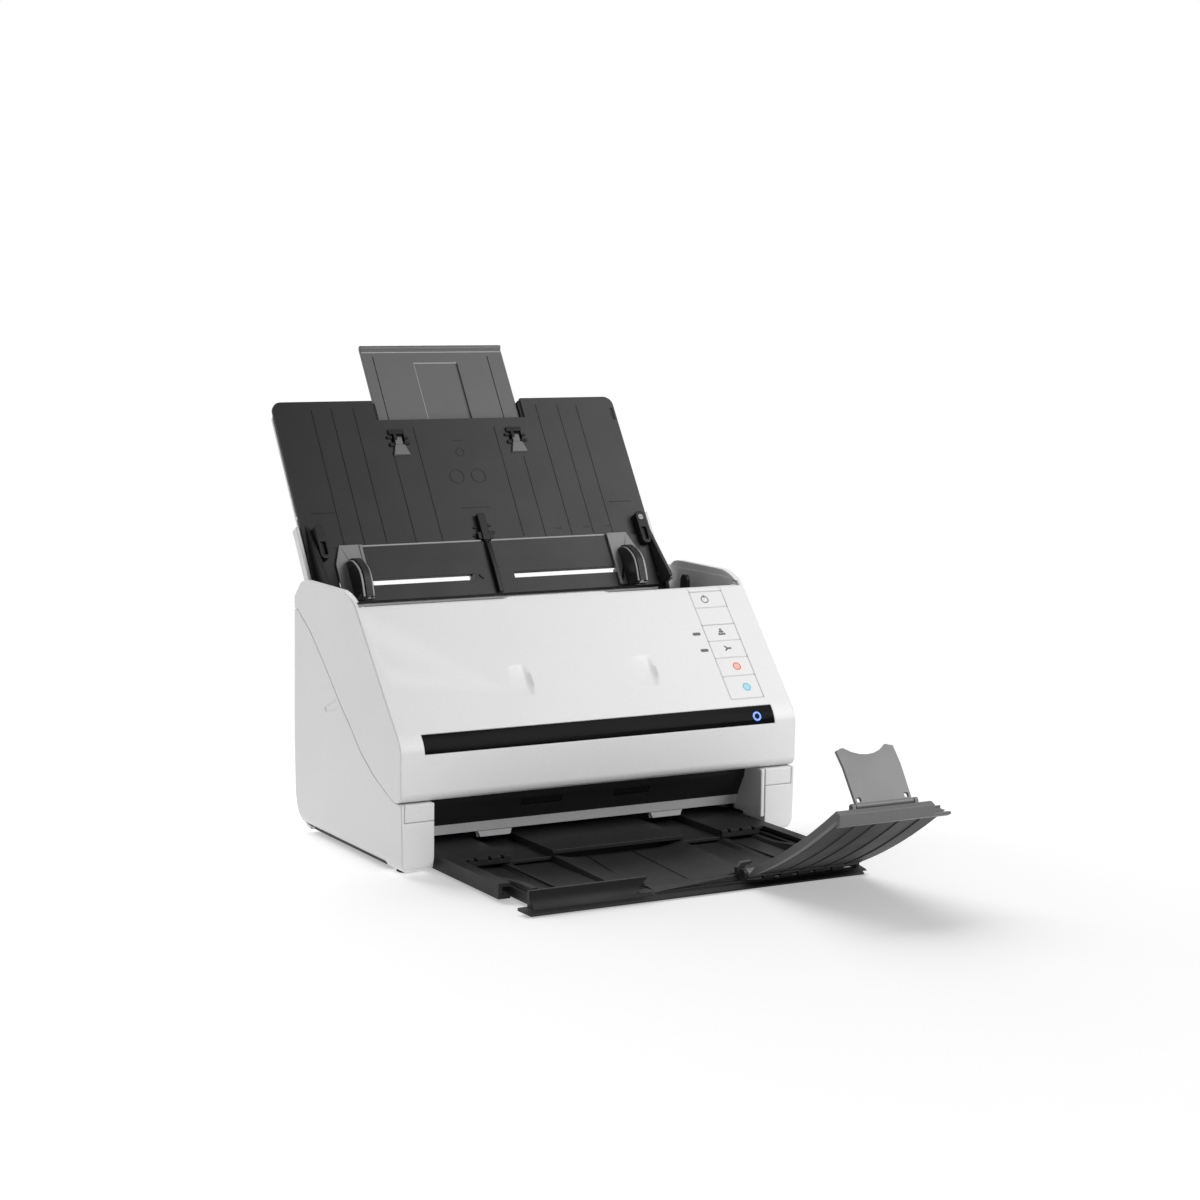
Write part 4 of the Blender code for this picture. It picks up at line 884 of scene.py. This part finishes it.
def pivot_housings():
    """Black housings at the tray's foot beside the guides; the right one has a round screw."""
    for side, name in ((-1, "left_pivot_housing"), (1, "right_pivot_housing")):
        outline = rounded(mirrored(side, 123.2, 130.4), (23, 49), 3.4, 6)
        housing = prism("XZ", outline, (-7.5, 0.2), TRAY)
        slot = prism("XZ", rounded(mirrored(side, 125.0, 128.6), (26, 36), 1), (-9, -5), TRAY)
        extra(cut(housing, slot), name, TRAY_BODY, "black", width=0.5)
    screw = prism("XZ", circle((126.4, 43.6), 2.1), (-8.4, -7), TRAY)
    cut(screw, prism("XZ", rectangle((124.0, 129.0), (43.2, 44.0)), (-9.5, -7.9), TRAY))
    extra(screw, "pivot_screw", TRAY_BODY, "light_grey", width=0.5)


def support_tabs():
    """Grey wedges in openings of the tray, with the hooks that hold them: the openings' flat black backs are
    painted shade, and the black hooks are partly painted shade too.
    """
    for side, name in ((-1, "left_support_tab"), (1, "right_support_tab")):
        middle = side * 47
        wedge = [(middle + x, s) for x, s in ((-6.6, 103.8), (6.6, 103.8), (4.0, 112.4), (-4.0, 112.4))]
        foot = [(x, -0.2, s) for x, s in wedge]
        top = [(middle + (x - middle) * 0.93, -1.8, 104.4 + (s - 103.8) * 0.9) for x, s in wedge]
        tab = loft([foot, top], TRAY)
        stem = prism("XZ", rounded((middle - 2.8, middle + 2.8), (110.5, 118.5), 1.4), (-1.0, 1.4), TRAY)
        stand_for(add(tab, stem), name, 0.25, 2, TAB_GREY)
        # The opening's back is flat black: painted shade.
        back = prism("XZ", rectangle(mirrored(side, 41.7, 52.3), (112.7, 123.3)), (1.7, 2.3), TRAY)
        extra(back, name + "_recess", TRAY_BODY, "black", PAINTED_SHADE_BLACK)
        bars = [((-8.6, -4.8), (117.4, 119.6)), ((3.6, 8.4), (112.6, 114.6)), ((-6.6, 5.6), (121.0, 124.4)),
                ((4.4, 8.0), (117.0, 118.6)), ((-7.6, -4.2), (111.2, 114.0)), ((-3.4, -1.0), (116.0, 121.5))]
        # The black hooks are partly the real clips and partly painted shade in the opening.
        hooks = [rounded((middle + low, middle + high), along, 0.5, 2) for (low, high), along in bars]
        extra(prisms("XZ", hooks, (-1.5, 1.6), TRAY), name + "_clip", TRAY_BODY, "black", width=0.2)


def tray_extension():
    plate = of_node("tray_extension", "tray_extension_skin")
    lines = [rectangle((x - 0.25, x + 0.25), (100, 187)) for x in (-48.4, 44.0)]
    lines.append(rectangle((16.2, 18.0), (100, 180.8)))
    cut(plate, prisms("XZ", lines, (2.0, 4.4), TRAY))
    stand_for(plate, "tray_extension", 0.35, 3)
    ledge = prism("XZ", rectangle((-17.4, 17.2), (180.6, 181.6)), (2.8, 3.9), TRAY)
    add(ledge, prism("XZ", rectangle((-17.3, -16.8), (100, 181)), (3.0, 3.9), TRAY))
    extra(ledge, "extension_window_ledge", "tray_extension", "light_grey")
    low, high = extent("tray_extension", TRAY)
    edge = prism("YZ", circle((3.3, high.z - 5.6), 0.55, 12), (low.x + 0.3, high.x - 0.3), TRAY)
    extra(edge, "extension_roll_edge", "tray_extension", "light_grey")


FIN = [(-3.0, 20.6), (-7.0, 20.2), (-12.4, 17.2), (-17.4, 10.6), (-19.4, 4.4), (-18.8, -3.0), (-16.6, -11.5)]
FIN_BACK = [(-14.2, -11.5), (-13.8, -7.8), (-3.0, -7.8)]
FIN_WALLS = {"inner": (102.6, 104.6), "outer": (109.2, 111.2)}
GUIDE_FOOT = ((96.7, -7.2), (119.0, -7.2), (119.0, 20.0), (113.5, 34.2), (96.7, 34.2))
GUIDE_STEP = ((-3.9, -7.2), (-3.9, 33.6), (-3.2, 34.2), (-3.2, -7.2))


def edge_guides():
    """Paper guides: a pale foot with a step, and two dark walls with pale rims, and a flat black core between
    the walls that is painted shade.
    """
    line = curve(FIN, 5)
    for side, node in ((-1, "left_edge_guide"), (1, "right_edge_guide")):
        foot = prism("XZ", [(side * x, s) for x, s in GUIDE_FOOT], (-3.3, -1.9), TRAY)
        add(foot, prism("XZ", rectangle(mirrored(side, 98, 112), (4.2, 7.6)), (-2.4, 4.0), TRAY))
        add(foot, prism("YZ", GUIDE_STEP, mirrored(side, 96.7, 98.9), TRAY))
        stand_for(foot, node, 0.3, 3, FOOT_GREY)
        for part, (near, far) in FIN_WALLS.items():
            wall = prism("YZ", line + FIN_BACK, mirrored(side, near, far), TRAY)
            extra(wall, f"{node}_{part}_wall", node, "charcoal", GUIDE_DARK, width=0.4)
            rim = prism("YZ", sheet(line, 0.8, -0.35), mirrored(side, near + 0.5, far + 0.1), TRAY)
            extra(rim, f"{node}_{part}_rim", node, "light_grey", width=0.15)
        # The core in the gap between the walls is flat black: painted shade.
        between = mirrored(side, FIN_WALLS["inner"][1] - 0.1, FIN_WALLS["outer"][0] + 0.1)
        core = prism("YZ", beside(line, 1.6) + FIN_BACK[1:], between, TRAY)
        extra(core, node + "_core", node, "black", PAINTED_SHADE_BLACK)


BACK_ARM = ((-21, -7), (-6.6, -7), (-6.6, 5.0), (1.6, 7.6), (1.6, 53), (-21, 53))


def tray_back():
    """The white shell behind the tray, with side arms trimmed clear of the body."""
    shell = of_node("tray_back_cover", "tray_back_cover_skin")
    lines = [rectangle((x - 0.5, x + 0.5), (20, 138)) for x in (-104, -70, 70, 104)]
    lines.append(rounded((-60, 60), (24, 54), 4))
    cut(shell, prisms("XZ", lines, (8.2, 9.5), TRAY))
    for side in (-1, 1):
        cut(shell, prism("XZ", rectangle(mirrored(side, 135.4, 141), (52.5, 148)), (-21, 10), TRAY))
        cut(shell, prism("YZ", BACK_ARM, mirrored(side, 136.0, 141), TRAY))
        corner = arc((TRAY_HIGH.x - CORNER, TRAY_HIGH.z - CORNER), CORNER + 1.5, 0, 90, 10)
        corner = [(x - 3, z - 3) for x, z in corner] + [(TRAY_HIGH.x + 3, TRAY_HIGH.z + 3)]
        cut(shell, prism("XZ", [(side * x, z) for x, z in corner], (-4, 12), TRAY))
    stand_for(shell, "tray_back_cover", 0.7, 3)


input_tray()
size_marks()
hopper_details()
pivot_housings()
support_tabs()
tray_extension()
edge_guides()
tray_back()
refined("centre_rib", 0.5, 3)


# --- output trays ---------------------------------------------------------------------------------

FLAP_HINGE = TO_BODY.inverted() @ joint_place("stopper_flap_hinge") / MM
FLAP_LOW, FLAP_HIGH = extent("stopper_flap", TO_BODY)
FLAP_REACH = 98.0
FLAP_RISE = 39.5
FLAP_CURL = 17.0
RIBS_FRONT_Y = -185.0
RIBS_REAR_Y = -100.5


def floor_section(share):
    """Front view of the second stage's floor, from its right end to its left, at a share of its depth."""
    y = RIBS_REAR_Y + share * (RIBS_FRONT_Y - RIBS_REAR_Y)
    low = 6.6 - 1.8 * share
    edge = 6.9 + 5.0 * max(0.0, min(1.0, (share - 0.3) / 0.5))
    right_crease = 10.8 + 0.092 * (y - RIBS_REAR_Y)
    left_crease = 22.5 - 0.16 * (y - RIBS_REAR_Y)
    halves = []
    for side, crease in ((1, right_crease), (-1, left_crease)):
        half = [(0.0, 4.9), (crease - 0.6, 5.1), (crease - 0.3, 4.2), (crease + 0.3, 4.2)]
        half += [(crease + 0.6, 5.1), (30.0, 5.3), (40.0, 6.6), (45.5, low + 1.6), (48.2, low + 1.6)]
        half += [(49.4, 4.3), (76.0, 4.3), (78.6, low), (83.0, low), (85.5, 4.4), (102.5, 4.9)]
        half += [(104.4, edge), (108.8, edge), (110.8, 3.2)]
        halves.append([(side * x, y, z) for x, z in half])
    right, left = halves
    return right[:0:-1] + left + [(-110.8, y, 2.5), (110.8, y, 2.5)]


LIP_SLANT = ((-34.5, 15.0), (-44.5, 4.9), (-31.0, 4.9), (-31.0, 15.0))
LIP_FRONT = ((-203.0, 3.0), (-200.4, 5.6), (-198.8, 9.6), (-198.0, 13.9))
KNUCKLE = ((33.2, 3.0), (33.2, 11.2), (36.4, 14.2), (43.8, 14.8), (43.8, 13.2), (39.0, 12.0), (36.6, 3.0))
RIBS_STEPS = 16


def output_trays():
    refined("output_tray", 0.35, 3, OUTPUT_BLACK)
    rear_lip = block((-117, 117), (-35.2, -34.3), (7.0, 13.0))
    extra(rear_lip, "output_tray_rear_lip", NODE_BODY["output_tray"], "black")
    tray = of_node("output_tray_extension", "output_tray_extension_skin")
    cut(tray, prism("XZ", LIP_SLANT, (-204, -189)))
    for side in (-1, 1):
        cut(tray, block(mirrored(side, 120.4, 126), (-209, -190), (0, 2.4)))
    stand_for(tray, "output_tray_extension", 0.35, 3, OUTPUT_BLACK)
    ribs = loft([floor_section(i / RIBS_STEPS) for i in range(RIBS_STEPS + 1)])
    extra(ribs, "output_tray_ribs", "output_tray_extension", "charcoal", OUTPUT_BLACK)
    # A thin near-black sheet on the lip's front face darkens it: painted shade.
    face = prism("YZ", sheet(LIP_FRONT, 0.35, -0.3), (-116.8, -34.0))
    cut(face, prism("XZ", LIP_SLANT, (-206, -189)))
    extra(face, "lip_face", "output_tray_extension", "black", LIP_SHADE_BLACK)
    knuckle = prism("XZ", KNUCKLE, (-193.2, -189.4))
    extra(knuckle, "flap_knuckle", "output_tray_extension", "charcoal", width=0.3)


def flap_line(start, end, steps=20):
    """The flap's middle line between two shares of its reach, from its hinge outwards."""
    shares = [start + (end - start) * i / steps for i in range(steps + 1)]
    return [(FLAP_HINGE.y - FLAP_REACH * u, FLAP_HINGE.z + FLAP_RISE * u + FLAP_CURL * u * u) for u in shares]


def stopper_flap():
    flap = of_node("stopper_flap", "stopper_flap_skin")
    tip = FLAP_HINGE.z + FLAP_RISE + FLAP_CURL
    step = [(-302, tip - 5.2), (-288, tip - 5.2), (-286, tip + 8), (-302, tip + 8)]
    cut(flap, prism("YZ", step, (105.8, FLAP_HIGH.x + 1)))
    stand_for(flap, "stopper_flap", 0.8, 3)
    # The sheet under the flap, with its real ribs, takes a darker charcoal than the flap: painted shade.
    skin = prism("YZ", sheet(flap_line(0.05, 0.935), 0.5, -2.65), (FLAP_LOW.x + 4.6, FLAP_HIGH.x - 0.8))
    for x in (56.0, 71.0, 88.0, 104.0):
        add(skin, prism("YZ", sheet(flap_line(0.10, 0.90), 0.9, -3.3), (x - 0.6, x + 0.6)))
    extra(skin, "stopper_flap_underside", "stopper_flap", "charcoal", UNDERSIDE_SHADE, width=0.2)
    outlines = []
    for i, x in enumerate(range(46, 110, 13)):
        outlines.append(rounded((x, x + 9), (4.6, 9.0 + 1.2 * (i % 2)), 1.2, 3))
    bumps = prisms("XZ", outlines, (-203.4, -201.0))
    extra(bumps, "flap_hinge_bumps", "output_tray_extension", "black", width=0.3)


STOP_LEAN = math.radians(56.5)
STOP_BEND = math.radians(-9)


def stop_plate():
    """The upright at the flap's tip, notched at its foot and bent back a little above its middle."""
    place = turned_frame(joint_place("stop_plate_hinge"), (0, math.cos(STOP_LEAN), math.sin(STOP_LEAN)))
    low, high = extent("stop_plate", place)
    plate = of_node("stop_plate", "stop_plate_skin")
    notches = [rounded((x - 1.5, x + 1.5), (2.3, 5.3), 0.6, 3) for x in (low.x + 3.6, high.x - 3.6)]
    cut(plate, prisms("XZ", notches, (-4, 4), place))
    cut(plate, prism("XZ", rectangle((low.x - 1, high.x + 1), (high.z - 3.2, high.z + 2)), (-4, 4), place))
    mesh = bmesh.new()
    mesh.from_mesh(plate.data)
    fold = place @ Vector((0, 0, high.z * 0.6 * MM))
    up = place.to_3x3() @ Vector((0, 0, 1))
    whole = mesh.verts[:] + mesh.edges[:] + mesh.faces[:]
    bmesh.ops.bisect_plane(mesh, geom=whole, plane_co=fold, plane_no=up)
    upper = [vert for vert in mesh.verts if (vert.co - fold).dot(up) > 0.01 * MM]
    bmesh.ops.rotate(mesh, cent=fold, matrix=Matrix.Rotation(STOP_BEND, 3, "X"), verts=upper)
    mesh.to_mesh(plate.data)
    mesh.free()
    stand_for(plate, "stop_plate", 0.3, 2, PLATE_GREY)


output_trays()
stopper_flap()
stop_plate()


# --- the rest of the nodes ------------------------------------------------------------------------

for node in sorted(frame["nodes"]):
    if node not in done:
        refined(node)


# --- stage ----------------------------------------------------------------------------------------

CAMERA_YAW, CAMERA_PITCH, CAMERA_ROLL = 29.67, 6.10, -0.74
CAMERA_TARGET = (40.5, 0.0, 201.1)
CAMERA_DISTANCE = 1783.0
FOCAL_LENGTH = 78.3
CAMERA_SHIFT = (0.0008, -0.0542)
FLOOR_HALF = 60.0
FLOOR_GLOW = 0.41
ROOM_LIGHT = 0.203


def camera():
    yaw, pitch, roll = (math.radians(a) for a in (CAMERA_YAW, CAMERA_PITCH, CAMERA_ROLL))
    ahead = Vector((math.sin(yaw) * math.cos(pitch), math.cos(yaw) * math.cos(pitch), -math.sin(pitch)))
    right = Vector((math.cos(yaw), -math.sin(yaw), 0))
    down = ahead.cross(right)
    tilt = Matrix.Rotation(roll, 3, ahead)
    right, down = tilt @ right, tilt @ down
    place = TO_BODY @ ((Vector(CAMERA_TARGET) - ahead * CAMERA_DISTANCE) * MM)
    data = bpy.data.cameras.new("camera")
    data.lens = FOCAL_LENGTH
    data.sensor_width = 36.0
    data.shift_x, data.shift_y = CAMERA_SHIFT
    data.clip_end = 200.0
    obj = bpy.data.objects.new("camera", data)
    obj.matrix_world = Matrix.Translation(place) @ Matrix((right, -down, -ahead)).transposed().to_4x4()
    bpy.context.scene.collection.objects.link(obj)
    bpy.context.scene.camera = obj


def light(name, kind, azimuth, elevation, energy):
    """A light turned to the object: azimuth 0 is the front, 90 the right."""
    turn, rise = math.radians(azimuth), math.radians(elevation)
    towards = Vector((math.sin(turn) * math.cos(rise), -math.cos(turn) * math.cos(rise), math.sin(rise)))
    data = bpy.data.lights.new(name, kind)
    data.energy = energy
    obj = bpy.data.objects.new(name, data)
    obj.rotation_euler = towards.to_track_quat("Z", "Y").to_euler()
    bpy.context.scene.collection.objects.link(obj)
    return obj, towards


def back_light():
    """A distant wide soft box behind the object, which throws its shadow forwards."""
    obj, _ = light("back_light", "SUN", azimuth=-176, elevation=35, energy=2.7)
    obj.data.angle = math.radians(60)


def front_box():
    """A square soft box near the object's right front, turned to its middle."""
    obj, towards = light("front_box", "AREA", azimuth=38, elevation=36, energy=9.6)
    obj.data.size = 0.7
    obj.location = towards * 1.1 + Vector((0, 0, 0.12))
    return obj


def leave_out(source, obj):
    """Keeps one object unlit by one light, so that it shows no shadow of it."""
    group = bpy.data.collections.new(source.name + "_leaves_out")
    group.objects.link(obj)
    source.light_linking.receiver_collection = group
    group.collection_objects[0].light_linking.link_state = "EXCLUDE"


def floor():
    n = Nodes("pale_floor")
    n.put("Base Color", n.mixed(n.noise(3.0), (0.86, 0.86, 0.86), (0.88, 0.88, 0.88)))
    n.put("Roughness", 0.9)
    n.put("Specular IOR Level", 0.0)
    n.put("Emission Color", (1, 1, 1, 1))
    n.put("Emission Strength", FLOOR_GLOW)
    mesh = bmesh.new()
    bmesh.ops.create_grid(mesh, x_segments=1, y_segments=1, size=FLOOR_HALF)
    obj = new_object(mesh, "floor")
    obj.data.materials.append(n.material)
    return obj


def world():
    """A white room: dim where it lights the object, full white where the camera sees it."""
    made = bpy.data.worlds.new("studio")
    bpy.context.scene.world = made
    made.use_nodes = True
    tree = made.node_tree
    background = tree.nodes["Background"]
    background.inputs["Color"].default_value = (1, 1, 1, 1)
    lit = tree.nodes.new("ShaderNodeLightPath")
    strength = tree.nodes.new("ShaderNodeMapRange")
    strength.inputs["To Min"].default_value = ROOM_LIGHT
    strength.inputs["To Max"].default_value = 1.0
    tree.links.new(lit.outputs["Is Camera Ray"], strength.inputs["Value"])
    tree.links.new(strength.outputs["Result"], background.inputs["Strength"])


camera()
world()
back_light()
leave_out(front_box(), floor())
bpy.context.scene.view_settings.view_transform = "Standard"
